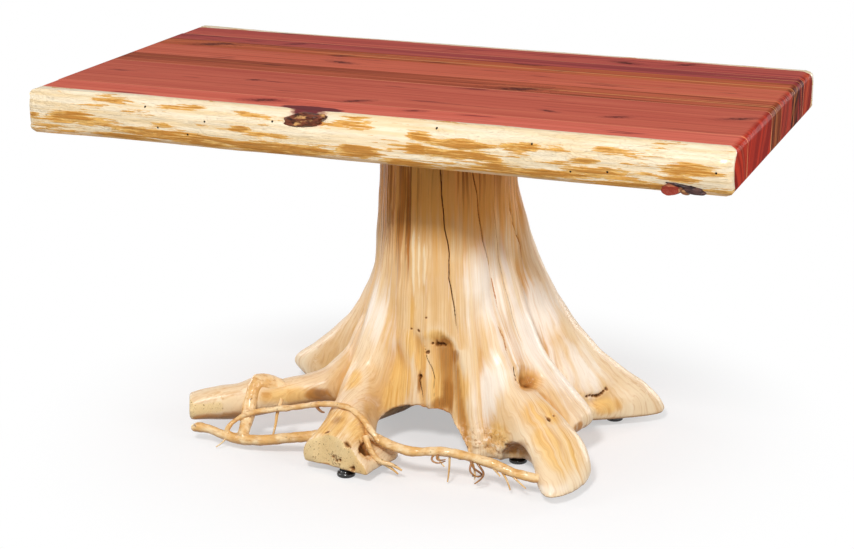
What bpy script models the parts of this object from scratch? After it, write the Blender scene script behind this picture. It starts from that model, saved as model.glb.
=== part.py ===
"""Stump base coffee table: a seven-board cedar top on a natural stump with levelling feet.

Metres, +Z up. The origin is on the floor under the middle of the top. +X runs along the top,
-Y is the side of the front live edge.
"""
import math

import bmesh
import bpy
from mathutils import Matrix, Vector

# Fits
FIT_GAP = 0.0003

# Table top
TABLE_HEIGHT = 0.480
TOP_LENGTH = 0.914
TOP_THICKNESS = 0.056
FRONT_BOARD_WIDTH = 0.073
WIDE_BOARD_WIDTH = 0.139
BROWN_BOARD_WIDTH = 0.054
LIGHT_BOARD_WIDTH = 0.070
STREAKED_BOARD_WIDTH = 0.042
PURPLE_BOARD_WIDTH = 0.037
BACK_BOARD_WIDTH = 0.078
END_ROUND = 0.009
LIVE_EDGE_TUCK_TOP = 0.017
LIVE_EDGE_TUCK_BOTTOM = 0.016
LIVE_EDGE_WAVE = 0.0015
LIVE_CORNER_ROUND = 0.012

# Loose splines in the joints between the boards
SPLINE_WIDTH = 0.024
SPLINE_THICKNESS = 0.008
SPLINE_END_INSET = 0.060

# Steel plate between the stump and the top, and its screws
PLATE_WIDTH = 0.100
PLATE_THICKNESS = 0.005
CABINET_SCREW_DIAMETER = 0.005
CABINET_SCREW_REACH = 0.024
CABINET_HEAD_DIAMETER = 0.012
CABINET_HEAD_HEIGHT = 0.004
CABINET_ROW_SPACING = 0.064
FRONT_ROW_GAPS = (0.068, 0.032)
BACK_ROW_GAPS = (0.015, 0.0545)
PLATE_END_MARGIN = 0.022
LAG_SCREW_DIAMETER = 0.008
LAG_SCREW_LENGTH = 0.075
LAG_HEAD_DIAMETER = 0.015
LAG_HEAD_HEIGHT = 0.0038
LAG_SPACING_X = 0.060
LAG_SPACING_Y = 0.080

# Levelling feet
PAD_DIAMETER = 0.024
PAD_FLOOR = 0.0008
PAD_LIP = 0.0005
NECK_DIAMETER = 0.0044
BALL_SHOULDER = 0.0011
COLLAR_ACROSS_CORNERS = 0.015
COLLAR_HEIGHT = 0.0025
STEM_DIAMETER = 0.008
STEM_LENGTH = 0.026
INSERT_WALL = 0.002
INSERT_LENGTH = 0.016
INSERT_FLANGE_OVERHANG = 0.0027
INSERT_FLANGE_THICKNESS = 0.0016

# Levelling feet: bearing and reach of each from the trunk axis
FOOT_PLACES = {
    "front_left": (255.8, 0.229),
    "front_right": (323.7, 0.169),
    "back_right": (23.0, 0.231),
    "back_left": (162.1, 0.202),
}

# Stump: trunk
TRUNK_X = 0.022
TRUNK_Y = 0.008
TRUNK_TOP_RADIUS = 0.0875
TRUNK_FOOT_RADIUS = 0.120
TRUNK_FLARE = 1.6
FLUTE_DEPTH = 0.0035
FLUTES = 7

# Stump: bearing of each large root, and its sections as
# (reach from the trunk axis, sidestep to the left, crest height, underside height, half width)
FLOOR_ROOTS = {
    "front_left": (247.0, (
        (0.050, -0.020, 0.330, 0.000, 0.040), (0.092, -0.024, 0.250, 0.000, 0.044),
        (0.115, -0.026, 0.175, 0.000, 0.042), (0.140, -0.026, 0.125, 0.000, 0.036),
        (0.170, -0.012, 0.096, 0.000, 0.036), (0.200, 0.008, 0.080, 0.000, 0.042),
        (0.225, 0.018, 0.064, 0.000, 0.045), (0.270, 0.028, 0.040, 0.000, 0.044))),
    "front_left_toe": (266.0, (
        (0.150, -0.014, 0.022, 0.000, 0.016), (0.180, -0.012, 0.034, 0.000, 0.024),
        (0.210, -0.022, 0.036, 0.000, 0.024), (0.260, -0.026, 0.034, 0.000, 0.024))),
    "front": (311.0, (
        (0.050, 0.000, 0.350, 0.000, 0.034), (0.096, 0.000, 0.280, 0.000, 0.038),
        (0.112, 0.000, 0.190, 0.000, 0.040), (0.130, 0.000, 0.120, 0.000, 0.040),
        (0.147, 0.000, 0.070, 0.000, 0.036), (0.162, 0.000, 0.038, 0.000, 0.028),
        (0.170, 0.000, 0.015, 0.000, 0.016))),
    "front_right": (322.0, (
        (0.060, 0.000, 0.300, 0.000, 0.034), (0.110, 0.000, 0.200, 0.000, 0.036),
        (0.150, 0.000, 0.135, 0.000, 0.036), (0.190, 0.004, 0.107, 0.000, 0.037),
        (0.225, 0.008, 0.092, 0.000, 0.041), (0.258, 0.010, 0.072, 0.000, 0.043),
        (0.282, 0.000, 0.050, 0.000, 0.042), (0.300, -0.014, 0.034, 0.000, 0.035),
        (0.314, -0.026, 0.020, 0.000, 0.022), (0.320, -0.030, 0.008, 0.000, 0.010))),
    "right_web": (344.0, (
        (0.050, 0.000, 0.330, 0.000, 0.034), (0.100, 0.000, 0.250, 0.000, 0.044),
        (0.120, 0.000, 0.190, 0.000, 0.048), (0.142, 0.000, 0.146, 0.000, 0.050),
        (0.166, 0.000, 0.116, 0.006, 0.050), (0.190, 0.000, 0.092, 0.022, 0.046),
        (0.208, 0.000, 0.075, 0.034, 0.038), (0.224, 0.000, 0.061, 0.042, 0.024))),
    "right": (23.5, (
        (0.050, 0.000, 0.390, 0.000, 0.040), (0.092, 0.000, 0.345, 0.000, 0.044),
        (0.100, 0.000, 0.314, 0.000, 0.046), (0.111, 0.000, 0.273, 0.000, 0.048),
        (0.128, 0.000, 0.231, 0.000, 0.048), (0.148, 0.000, 0.190, 0.000, 0.047),
        (0.174, 0.000, 0.148, 0.000, 0.045), (0.208, 0.000, 0.105, 0.000, 0.041),
        (0.234, 0.000, 0.081, 0.000, 0.037), (0.268, 0.000, 0.057, 0.000, 0.030),
        (0.292, 0.000, 0.034, 0.000, 0.020), (0.302, 0.000, 0.016, 0.000, 0.010))),
    "back": (88.0, (
        (0.050, 0.000, 0.350, 0.000, 0.036), (0.095, 0.000, 0.260, 0.000, 0.042),
        (0.118, 0.000, 0.180, 0.000, 0.044), (0.145, 0.000, 0.115, 0.000, 0.042),
        (0.170, 0.000, 0.070, 0.000, 0.035), (0.188, 0.000, 0.036, 0.000, 0.024),
        (0.196, 0.000, 0.016, 0.000, 0.012))),
    "back_left": (162.6, (
        (0.050, 0.000, 0.360, 0.000, 0.038), (0.092, 0.000, 0.300, 0.000, 0.042),
        (0.106, 0.000, 0.245, 0.000, 0.044), (0.122, 0.000, 0.200, 0.000, 0.044),
        (0.143, 0.000, 0.161, 0.000, 0.042), (0.162, 0.000, 0.136, 0.000, 0.038),
        (0.186, 0.000, 0.110, 0.000, 0.034), (0.218, 0.000, 0.081, 0.006, 0.030),
        (0.250, 0.000, 0.057, 0.020, 0.023), (0.270, 0.000, 0.042, 0.024, 0.014),
        (0.278, 0.000, 0.034, 0.026, 0.007))),
}
RAISED_ROOT_BEARING = 211.0
RAISED_ROOT = (
    (0.050, 0.000, 0.340, 0.020, 0.042), (0.092, 0.000, 0.240, 0.020, 0.046),
    (0.112, 0.000, 0.165, 0.022, 0.042), (0.136, 0.000, 0.116, 0.030, 0.032),
    (0.164, 0.000, 0.090, 0.041, 0.023), (0.200, 0.000, 0.079, 0.039, 0.020),
    (0.234, 0.000, 0.076, 0.032, 0.020), (0.262, 0.000, 0.083, 0.028, 0.023),
    (0.282, 0.000, 0.075, 0.026, 0.023), (0.306, 0.000, 0.073, 0.026, 0.022),
    (0.380, 0.000, 0.060, 0.029, 0.018))

# Stump: height at which a root that stands on the floor is widest, and its width at the floor
ROOT_BELLY = 0.028
ROOT_FOOT_SHARE = 0.76

# Stump: sawn root ends, as (bearing of the cut's normal, distance from the trunk axis, half width)
ROOT_SAWS = {
    "front_left_saw": (258.7, 0.243, 0.100),
    "left_saw": (207.0, 0.350, 0.060),
}

# Stump: hollow underneath, as an arched tunnel that runs in from the front
HOLLOW_BEARING = 274.0
HOLLOW_SECTIONS = (
    (-0.050, 0.000, 0.018, 0.020), (-0.035, 0.000, 0.042, 0.048), (0.010, 0.004, 0.062, 0.062),
    (0.060, -0.005, 0.062, 0.079), (0.110, -0.004, 0.060, 0.079), (0.136, -0.001, 0.058, 0.075),
    (0.165, 0.028, 0.055, 0.036), (0.230, 0.040, 0.055, 0.036))

# Stump: gap that opens under the side of the front right root, as such a tunnel too
GAP_BEARING = 290.6
GAP_SECTIONS = (
    (0.164, 0.087, 0.030, 0.014), (0.180, 0.087, 0.044, 0.022), (0.208, 0.0865, 0.052, 0.0255),
    (0.300, 0.0865, 0.062, 0.0265))

# Stump: how fine the grown surface is
STUMP_VOXEL = 0.0055
STUMP_SMOOTHING = 5
STUMP_KEEP = 0.085

# Slender roots, as (place from the foot of the trunk axis, radius)
LOW_ROOT = (
    ((-0.082, -0.174, 0.036), 0.0075), ((-0.122, -0.183, 0.030), 0.0070), ((-0.152, -0.189, 0.025), 0.0066),
    ((-0.189, -0.194, 0.018), 0.0072), ((-0.218, -0.196, 0.016), 0.0074), ((-0.244, -0.194, 0.018), 0.0064),
    ((-0.268, -0.191, 0.022), 0.0060), ((-0.282, -0.190, 0.023), 0.0068), ((-0.292, -0.190, 0.020), 0.0054))
ARCHED_ROOT = (
    ((-0.240, -0.195, 0.029), 0.0034), ((-0.229, -0.184, 0.040), 0.0036), ((-0.214, -0.178, 0.048), 0.0038),
    ((-0.182, -0.172, 0.055), 0.0040), ((-0.148, -0.174, 0.063), 0.0042), ((-0.114, -0.180, 0.075), 0.0042),
    ((-0.086, -0.186, 0.081), 0.0042), ((-0.064, -0.190, 0.081), 0.0042), ((-0.044, -0.196, 0.072), 0.0042),
    ((-0.030, -0.201, 0.058), 0.0042), ((-0.016, -0.204, 0.045), 0.0040))
TRAILING_ROOT = (
    ((-0.046, -0.188, 0.052), 0.0068), ((-0.022, -0.198, 0.046), 0.0066), ((-0.002, -0.201, 0.040), 0.0066),
    ((0.026, -0.204, 0.037), 0.0064), ((0.052, -0.202, 0.041), 0.0062), ((0.078, -0.199, 0.043), 0.0062),
    ((0.104, -0.200, 0.041), 0.0062), ((0.130, -0.202, 0.038), 0.0062), ((0.156, -0.204, 0.032), 0.0062),
    ((0.184, -0.206, 0.027), 0.0060), ((0.204, -0.198, 0.025), 0.0056))
DROP_BRANCH = (
    ((-0.221, -0.146, 0.072), 0.0090), ((-0.222, -0.156, 0.056), 0.0094), ((-0.221, -0.168, 0.040), 0.0090),
    ((-0.218, -0.182, 0.029), 0.0086), ((-0.217, -0.196, 0.018), 0.0080))
DROP_BRANCH_FLATNESS = 0.62
ROOT_SIDES = 8
ROOT_STEPS = 3

# How finely round pieces are faceted
SMOOTH_ANGLE = 35
LAG_SIDES = 10
CABINET_SIDES = 8
INSERT_SIDES = 12
PAD_SIDES = 16
STEM_SIDES = 12

# Colours
BOARD_COLOURS = {
    "front_live_edge_board": (0.62, 0.36, 0.22),
    "wide_red_board": (0.48, 0.11, 0.085),
    "brown_board": (0.34, 0.085, 0.055),
    "light_red_board": (0.50, 0.13, 0.10),
    "streaked_board": (0.42, 0.14, 0.06),
    "purple_board": (0.33, 0.07, 0.075),
    "back_live_edge_board": (0.46, 0.12, 0.095),
}
SPLINE_COLOUR = (0.60, 0.42, 0.25)
PLATE_COLOUR = (0.03, 0.03, 0.032)
ZINC_COLOUR = (0.55, 0.55, 0.56)
STUMP_COLOUR = (0.72, 0.50, 0.25)
ROOT_COLOUR = (0.66, 0.42, 0.19)
PAD_COLOUR = (0.012, 0.012, 0.013)
STEM_COLOUR = (0.05, 0.05, 0.052)

# Sizes that follow from those above
INSERT_DIAMETER = STEM_DIAMETER + 2 * (FIT_GAP + INSERT_WALL)
INSERT_FLANGE_DIAMETER = INSERT_DIAMETER + 2 * INSERT_FLANGE_OVERHANG
BALL_DIAMETER = NECK_DIAMETER + 2 * BALL_SHOULDER
SOCKET_DIAMETER = BALL_DIAMETER + 2 * FIT_GAP
PAD_HEIGHT = PAD_FLOOR + SOCKET_DIAMETER + PAD_LIP

# Heights that follow from the sizes above
TOP_UNDERSIDE = TABLE_HEIGHT - TOP_THICKNESS
PLATE_TOP = TOP_UNDERSIDE - FIT_GAP
PLATE_BOTTOM = PLATE_TOP - PLATE_THICKNESS
STUMP_TOP = PLATE_BOTTOM - FIT_GAP
COLLAR_BOTTOM = PAD_HEIGHT + FIT_GAP
COLLAR_TOP = COLLAR_BOTTOM + COLLAR_HEIGHT
ROOT_UNDERSIDE = COLLAR_TOP + FIT_GAP
STEM_TOP = COLLAR_TOP + STEM_LENGTH
TRUNK_AXIS = Vector((TRUNK_X, TRUNK_Y, 0.0))


def clear_scene():
    """Takes away whatever the file holds."""
    for old in list(bpy.data.objects):
        bpy.data.objects.remove(old, do_unlink=True)


def make_material(name, colour, roughness, metallic=0.0):
    """A Principled material of one colour."""
    material = bpy.data.materials.new(name)
    material.use_nodes = True
    shader = material.node_tree.nodes["Principled BSDF"]
    shader.inputs["Base Color"].default_value = (*colour, 1.0)
    shader.inputs["Roughness"].default_value = roughness
    shader.inputs["Metallic"].default_value = metallic
    return material


def make_object(name, bm, material=None, smooth_angle=None, location=(0.0, 0.0, 0.0), parent=None):
    """Turns a bmesh into a named object, with its faces pointing out."""
    bmesh.ops.recalc_face_normals(bm, faces=bm.faces)
    mesh = bpy.data.meshes.new(name)
    bm.to_mesh(mesh)
    bm.free()
    piece = bpy.data.objects.new(name, mesh)
    bpy.context.collection.objects.link(piece)
    piece.location = location
    piece.parent = parent
    if material is not None:
        mesh.materials.append(material)
    if smooth_angle is not None:
        mesh.shade_smooth()
        mesh.set_sharp_from_angle(angle=math.radians(smooth_angle))
    return piece


def make_cutter(name, bm):
    """A shape that only cuts others."""
    cutter = make_object(name, bm)
    cutter.hide_render = True
    cutter.display_type = "WIRE"
    return cutter


def cut_away(piece, cutter):
    """Cuts a piece with a cutter."""
    cut = piece.modifiers.new("cut by " + cutter.name, "BOOLEAN")
    cut.operation = "DIFFERENCE"
    cut.solver = "EXACT"
    cut.object = cutter


def add_loft(bm, rings):
    """Skins closed rings of points, each with as many points as the last, and caps both ends."""
    loops = [[bm.verts.new(point) for point in ring] for ring in rings]
    for lower, upper in zip(loops, loops[1:]):
        bridge_rings(bm, lower, upper)
    bm.faces.new(list(reversed(loops[0])))
    bm.faces.new(loops[-1])


def turned_ring(bm, radius, height, sides, place=(0.0, 0.0, 0.0), hexagon=False):
    """One ring of a turned shape. A hexagon draws every second point in to the middle of a flat."""
    ring = []
    for side in range(sides):
        angle = math.tau * side / sides
        drawn = math.cos(math.pi / 6) if hexagon and side % 2 else 1.0
        spoke = Vector((math.cos(angle), math.sin(angle), 0.0)) * radius * drawn
        ring.append(bm.verts.new(Vector(place) + spoke + Vector((0.0, 0.0, height))))
    return ring


def bridge_rings(bm, lower, upper):
    """Joins two rings of as many points with faces."""
    for i in range(len(lower)):
        j = (i + 1) % len(lower)
        bm.faces.new((lower[i], lower[j], upper[j], upper[i]))


def add_turned(bm, profile, sides, place=(0.0, 0.0, 0.0), hexagon_rows=()):
    """Turns a profile of (radius, height) about a vertical line. It starts and ends on that line."""
    rings = [turned_ring(bm, radius, height, sides, place, row in hexagon_rows)
             for row, (radius, height) in enumerate(profile) if radius > 0.0]
    for lower, upper in zip(rings, rings[1:]):
        bridge_rings(bm, lower, upper)
    for ring, (_, height) in ((rings[0], profile[0]), (rings[-1], profile[-1])):
        pole = bm.verts.new(Vector(place) + Vector((0.0, 0.0, height)))
        for i in range(sides):
            bm.faces.new((ring[i], ring[(i + 1) % sides], pole))


def add_box(bm, low, high, turn=0.0, pivot=(0.0, 0.0, 0.0)):
    """A box between two corners, turned about a vertical line through the pivot."""
    size = [b - a for a, b in zip(low, high)]
    middle = [(a + b) / 2 for a, b in zip(low, high)]
    shape = Matrix.Translation(middle) @ Matrix.Diagonal((*size, 1.0))
    turned = Matrix.Translation(pivot) @ Matrix.Rotation(turn, 4, "Z") @ shape
    bmesh.ops.create_cube(bm, size=1.0, matrix=turned)


def smooth_route(points, steps):
    """Points on a smooth curve through (place, radius) pairs, with so many steps between two of them."""
    places = [TRUNK_AXIS + Vector(place) for place, _ in points]
    radii = [radius for _, radius in points]
    route = []
    for i in range(len(points) - 1):
        before = places[max(i - 1, 0)]
        after = places[min(i + 2, len(places) - 1)]
        for step in range(steps):
            t = step / steps
            a = 2 * places[i]
            b = places[i + 1] - before
            c = 2 * before - 5 * places[i] + 4 * places[i + 1] - after
            d = 3 * places[i] - before - 3 * places[i + 1] + after
            route.append(((a + b * t + c * t * t + d * t ** 3) / 2, radii[i] + (radii[i + 1] - radii[i]) * t))
    route.append((places[-1], radii[-1]))
    return route


def add_tube(bm, points, spread=0.0, flatness=1.0):
    """A tapering tube along a smooth route. Spread is added to its radius."""
    route = smooth_route(points, ROOT_STEPS)
    rings = []
    side = Vector((0.0, 1.0, 0.0))
    for i, (place, radius) in enumerate(route):
        ahead = route[min(i + 1, len(route) - 1)][0] - route[max(i - 1, 0)][0]
        ahead.normalize()
        side = (side - ahead * side.dot(ahead)).normalized()
        across = ahead.cross(side)
        ring = []
        for corner in range(ROOT_SIDES):
            angle = math.tau * corner / ROOT_SIDES
            thick = side * math.sin(angle) * (radius * flatness + spread)
            wide = across * math.cos(angle) * (radius + spread)
            ring.append(place + wide + thick)
        rings.append(ring)
    add_loft(bm, rings)


# Table top

def board_layout():
    """Each board's name, front and back, from the front of the top to its back."""
    widths = {
        "front_live_edge_board": FRONT_BOARD_WIDTH,
        "wide_red_board": WIDE_BOARD_WIDTH,
        "brown_board": BROWN_BOARD_WIDTH,
        "light_red_board": LIGHT_BOARD_WIDTH,
        "streaked_board": STREAKED_BOARD_WIDTH,
        "purple_board": PURPLE_BOARD_WIDTH,
        "back_live_edge_board": BACK_BOARD_WIDTH,
    }
    front = -sum(widths.values()) / 2
    layout = []
    for name, width in widths.items():
        layout.append((name, front, front + width))
        front += width
    return layout


def end_stations():
    """Places along the top's length, close together where the ends are rounded over."""
    half = TOP_LENGTH / 2
    round_steps = 3
    rounded = [END_ROUND * (1 - math.cos(math.pi / 2 * i / round_steps)) for i in range(round_steps + 1)]
    middle_steps = 14
    flat = half - END_ROUND
    middle = [-flat + 2 * flat * i / middle_steps for i in range(1, middle_steps)]
    left = [-half + inset for inset in rounded]
    right = [half - inset for inset in reversed(rounded)]
    return left, middle, right


def rounded_loss(along, radius):
    """How far a rounded corner of the top has drawn in at a place along its length."""
    from_end = TOP_LENGTH / 2 - abs(along)
    if from_end >= radius:
        return 0.0
    return radius - math.sqrt(max(radius ** 2 - (radius - from_end) ** 2, 0.0))


def live_edge_inset(along, share):
    """How far the live edge lies behind its outermost line, at a share of the board's thickness."""
    tuck = LIVE_EDGE_TUCK_TOP if share > 0.5 else LIVE_EDGE_TUCK_BOTTOM
    bulge = tuck * abs(2 * share - 1) ** 2.6
    wave = 1 + 0.6 * math.sin(along * 17.0 + 0.8) + 0.4 * math.sin(along * 47.0 + 2.0 * share)
    return bulge + LIVE_EDGE_WAVE * wave + rounded_loss(along, LIVE_CORNER_ROUND) * 0.8


def add_board(bm, front, back, live=0):
    """One board of the top. Live is -1 for a natural edge on the front, 1 for one on the back."""
    left, middle, right = end_stations()
    stations = left + (middle if live else []) + right
    edge_points = 8 if live else 1
    rings = []
    for along in stations:
        loss = rounded_loss(along, END_ROUND)
        low = TOP_UNDERSIDE + loss
        high = TABLE_HEIGHT - loss
        shares = [i / edge_points for i in range(edge_points + 1)]
        heights = [low + (high - low) * share for share in shares]
        insets = [live_edge_inset(along, share) if live else 0.0 for share in shares]
        if live > 0:
            ring = [(along, front, high), (along, front, low)]
            ring += [(along, back - inset, height) for inset, height in zip(insets, heights)]
        else:
            ring = [(along, back, low), (along, back, high)]
            ring += [(along, front + inset, height) for inset, height in zip(insets[::-1], heights[::-1])]
        rings.append(ring)
    add_loft(bm, rings)


def spline_boxes(layout, spread=0.0):
    """Low and high corner of each joint's spline, stopped short of both ends of the top."""
    half_length = TOP_LENGTH / 2 - SPLINE_END_INSET + spread
    half_width = SPLINE_WIDTH / 2 + spread
    half_thickness = SPLINE_THICKNESS / 2 + spread
    middle = TOP_UNDERSIDE + TOP_THICKNESS / 2
    boxes = []
    for _, _, line in layout[:-1]:
        low = (-half_length, line - half_width, middle - half_thickness)
        high = (half_length, line + half_width, middle + half_thickness)
        boxes.append((low, high))
    return boxes


# Plate and screws

def cabinet_rows():
    """Lines on which the cabinet screws stand, in front of the trunk and behind it."""
    front = TRUNK_Y - TRUNK_TOP_RADIUS
    back = TRUNK_Y + TRUNK_TOP_RADIUS
    return [front - gap for gap in FRONT_ROW_GAPS] + [back + gap for gap in BACK_ROW_GAPS]


def cabinet_screw_places():
    """Where the cabinet screws go up through the plate into the boards."""
    half = CABINET_ROW_SPACING / 2
    return [(TRUNK_X + side, row, 0.0) for row in cabinet_rows() for side in (-half, half)]


def lag_screw_places():
    """Where the lag screws go down through the plate into the trunk."""
    return [(TRUNK_X + LAG_SPACING_X * i, TRUNK_Y + LAG_SPACING_Y * j, 0.0)
            for i in (-0.5, 0.5) for j in (-0.5, 0.5)]


def cabinet_screw_profile():
    """Pan-head screw with its head under the plate."""
    shank = CABINET_SCREW_DIAMETER / 2
    head = CABINET_HEAD_DIAMETER / 2
    head_top = PLATE_BOTTOM - FIT_GAP
    head_bottom = head_top - CABINET_HEAD_HEIGHT
    tip = PLATE_TOP + CABINET_SCREW_REACH
    return [(0.0, head_bottom), (head * 0.7, head_bottom), (head, head_top - CABINET_HEAD_HEIGHT / 2),
            (head, head_top), (shank, head_top), (shank, tip - shank), (0.0, tip)]


def cabinet_hole_profile():
    """Hole through the plate and up into a board."""
    shank = CABINET_SCREW_DIAMETER / 2 + FIT_GAP
    tip = PLATE_TOP + CABINET_SCREW_REACH + FIT_GAP
    below = PLATE_BOTTOM - PLATE_THICKNESS
    return [(0.0, below), (shank, below), (shank, tip - shank), (0.0, tip)]


def lag_screw_profile():
    """Countersunk lag screw, flush with the top of the plate."""
    shank = LAG_SCREW_DIAMETER / 2
    tip = PLATE_TOP - LAG_SCREW_LENGTH
    neck = PLATE_TOP - LAG_HEAD_HEIGHT
    head = LAG_HEAD_DIAMETER / 2
    return [(0.0, tip), (shank, tip + shank), (shank, neck), (head, PLATE_TOP), (0.0, PLATE_TOP)]


def lag_hole_profile():
    """Countersunk hole through the plate and down into the trunk."""
    shank = LAG_SCREW_DIAMETER / 2 + FIT_GAP
    head = LAG_HEAD_DIAMETER / 2 + FIT_GAP
    tip = PLATE_TOP - LAG_SCREW_LENGTH - FIT_GAP
    neck = PLATE_TOP - LAG_HEAD_HEIGHT
    above = PLATE_TOP + PLATE_THICKNESS
    return [(0.0, tip), (shank, tip + shank), (shank, neck), (head, PLATE_TOP), (head, above), (0.0, above)]


def add_plate(bm):
    """The flat plate, with rounded corners."""
    rows = cabinet_rows()
    low = (TRUNK_X - PLATE_WIDTH / 2, min(rows) - PLATE_END_MARGIN, PLATE_BOTTOM)
    high = (TRUNK_X + PLATE_WIDTH / 2, max(rows) + PLATE_END_MARGIN, PLATE_TOP)
    add_box(bm, low, high)
    upright = [edge for edge in bm.edges
               if abs(edge.verts[0].co.z - edge.verts[1].co.z) > PLATE_THICKNESS / 2]
    bmesh.ops.bevel(bm, geom=upright, offset=PLATE_END_MARGIN / 2, segments=3, affect="EDGES")


# Levelling feet

def foot_place(foot):
    """Where a foot stands on the floor."""
    bearing, reach = FOOT_PLACES[foot]
    return TRUNK_AXIS + bearing_axes(bearing)[0] * reach


def pad_profile():
    """Swivel pad: outside from the floor up, then down into the socket for the stem's ball."""
    outer = PAD_DIAMETER / 2
    neck = NECK_DIAMETER / 2 + FIT_GAP
    socket = SOCKET_DIAMETER / 2
    return [(0.0, 0.0), (outer * 0.86, 0.0), (outer, PAD_HEIGHT * 0.16), (outer, PAD_HEIGHT * 0.5),
            (outer * 0.78, PAD_HEIGHT * 0.78), (outer * 0.7, PAD_HEIGHT), (neck, PAD_HEIGHT)] + [
            (socket * math.cos(a), PAD_FLOOR + socket + socket * math.sin(a))
            for a in (math.radians(48), 0.0, math.radians(-48))] + [(0.0, PAD_FLOOR)]


def stem_profile():
    """Stem from its ball up: ball, neck, hexagon collar, threaded length."""
    ball = BALL_DIAMETER / 2
    middle = PAD_FLOOR + SOCKET_DIAMETER / 2
    neck = NECK_DIAMETER / 2
    shank = STEM_DIAMETER / 2
    collar = COLLAR_ACROSS_CORNERS / 2
    chamfer = STEM_DIAMETER / 8
    rise = math.asin(neck / ball)
    return [(0.0, middle - ball)] + [(ball * math.cos(a), middle + ball * math.sin(a))
            for a in (math.radians(-45), 0.0)] + [
            (neck, middle + ball * math.cos(rise)), (neck, COLLAR_BOTTOM), (collar, COLLAR_BOTTOM),
            (collar, COLLAR_TOP), (shank, COLLAR_TOP), (shank, STEM_TOP - chamfer),
            (shank - chamfer, STEM_TOP), (0.0, STEM_TOP)]


COLLAR_ROWS = (5, 6)


def add_insert(bm):
    """Flanged insert, open at both ends for the stem."""
    bore = STEM_DIAMETER / 2 + FIT_GAP
    body = INSERT_DIAMETER / 2
    flange = INSERT_FLANGE_DIAMETER / 2
    shoulder = ROOT_UNDERSIDE + INSERT_FLANGE_THICKNESS
    top = ROOT_UNDERSIDE + INSERT_LENGTH
    rows = ((bore, ROOT_UNDERSIDE), (flange, ROOT_UNDERSIDE), (flange, shoulder), (body, shoulder),
            (body, top), (bore, top))
    rings = [turned_ring(bm, radius, height, INSERT_SIDES) for radius, height in rows]
    for lower, upper in zip(rings, rings[1:] + rings[:1]):
        bridge_rings(bm, lower, upper)


def insert_hole_profile():
    """Counterbored hole in a root for an insert, drilled on for the stem."""
    stem = STEM_DIAMETER / 2 + FIT_GAP
    body = INSERT_DIAMETER / 2 + FIT_GAP
    flange = INSERT_FLANGE_DIAMETER / 2 + FIT_GAP
    shoulder = ROOT_UNDERSIDE + INSERT_FLANGE_THICKNESS + FIT_GAP
    insert_top = ROOT_UNDERSIDE + INSERT_LENGTH + FIT_GAP
    stem_top = STEM_TOP + FIT_GAP
    below = -ROOT_UNDERSIDE
    profile = [(0.0, below), (flange, below), (flange, shoulder), (body, shoulder), (body, insert_top)]
    if stem_top > insert_top:
        profile += [(stem, insert_top), (stem, stem_top), (0.0, stem_top)]
    else:
        profile.append((0.0, insert_top))
    return profile


# Stump

def bearing_axes(bearing):
    """Level directions along a bearing and across it."""
    angle = math.radians(bearing)
    outward = Vector((math.cos(angle), math.sin(angle), 0.0))
    return outward, Vector((-outward.y, outward.x, 0.0))


def trunk_radius(angle, share):
    """Radius of the fluted trunk at an angle, at a share of its height."""
    flare = (1 - share) ** TRUNK_FLARE
    radius = TRUNK_TOP_RADIUS + (TRUNK_FOOT_RADIUS - TRUNK_TOP_RADIUS) * flare
    flute = 0.6 * math.cos(FLUTES * angle + 1.3 + share) + 0.4 * math.cos(3 * angle - 0.7)
    return radius + FLUTE_DEPTH * flute


def add_trunk(bm):
    """The trunk, from below the floor cut to above the top cut."""
    sides = 48
    levels = 16
    overrun = STUMP_VOXEL * 3
    rings = []
    for level in range(levels + 1):
        share = level / levels
        height = (STUMP_TOP + overrun) * share
        ring = []
        for side in range(sides):
            angle = math.tau * side / sides
            spoke = Vector((math.cos(angle), math.sin(angle), 0.0)) * trunk_radius(angle, share)
            ring.append(TRUNK_AXIS + spoke + Vector((0.0, 0.0, height)))
        rings.append(ring)
    add_loft(bm, rings)


def root_section(outward, across, section, on_floor):
    """Upright section through a root: domed over a tucked-in foot, or a whole oval clear of the floor."""
    reach, sidestep, crest, underside, half_width = section
    arc_points = 12
    middle = (crest + underside) / 2
    if on_floor:
        middle = underside + min(ROOT_BELLY, (crest - underside) / 2)
    outline = []
    for i in range(arc_points + 1):
        angle = math.pi * i / arc_points
        outline.append((math.cos(angle), middle + (crest - middle) * math.sin(angle)))
    if on_floor:
        foot = []
        for angle in (math.pi / 4, math.pi / 2):
            share = ROOT_FOOT_SHARE + (1 - ROOT_FOOT_SHARE) * math.cos(angle)
            foot.append((share, middle - (middle - underside) * math.sin(angle)))
        outline += [(-share, height) for share, height in foot] + foot[::-1]
    else:
        for i in range(1, arc_points):
            angle = math.pi + math.pi * i / arc_points
            outline.append((math.cos(angle), middle + (middle - underside) * math.sin(angle)))
    station = TRUNK_AXIS + outward * reach + across * sidestep
    return [station + across * half_width * share + Vector((0.0, 0.0, height)) for share, height in outline]


def add_roots(bm):
    """The large roots, flaring out of the trunk."""
    for bearing, sections in FLOOR_ROOTS.values():
        outward, across = bearing_axes(bearing)
        add_loft(bm, [root_section(outward, across, section, True) for section in sections])
    outward, across = bearing_axes(RAISED_ROOT_BEARING)
    add_loft(bm, [root_section(outward, across, section, False) for section in RAISED_ROOT])


def root_saw_shapes():
    """What the saw takes off the ends of two roots."""
    shapes = {}
    for name, (bearing, distance, half_width) in ROOT_SAWS.items():
        shapes[name] = bmesh.new()
        low = (distance, -half_width, -STUMP_TOP / 2)
        high = (distance + half_width, half_width, STUMP_TOP / 2)
        add_box(shapes[name], low, high, math.radians(bearing), TRUNK_AXIS)
    return shapes


def add_level_saw(bm, low, high):
    """A broad slab that planes the stump flat between two heights."""
    add_box(bm, (-TOP_LENGTH, -TOP_LENGTH, low), (TOP_LENGTH, TOP_LENGTH, high))


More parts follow.
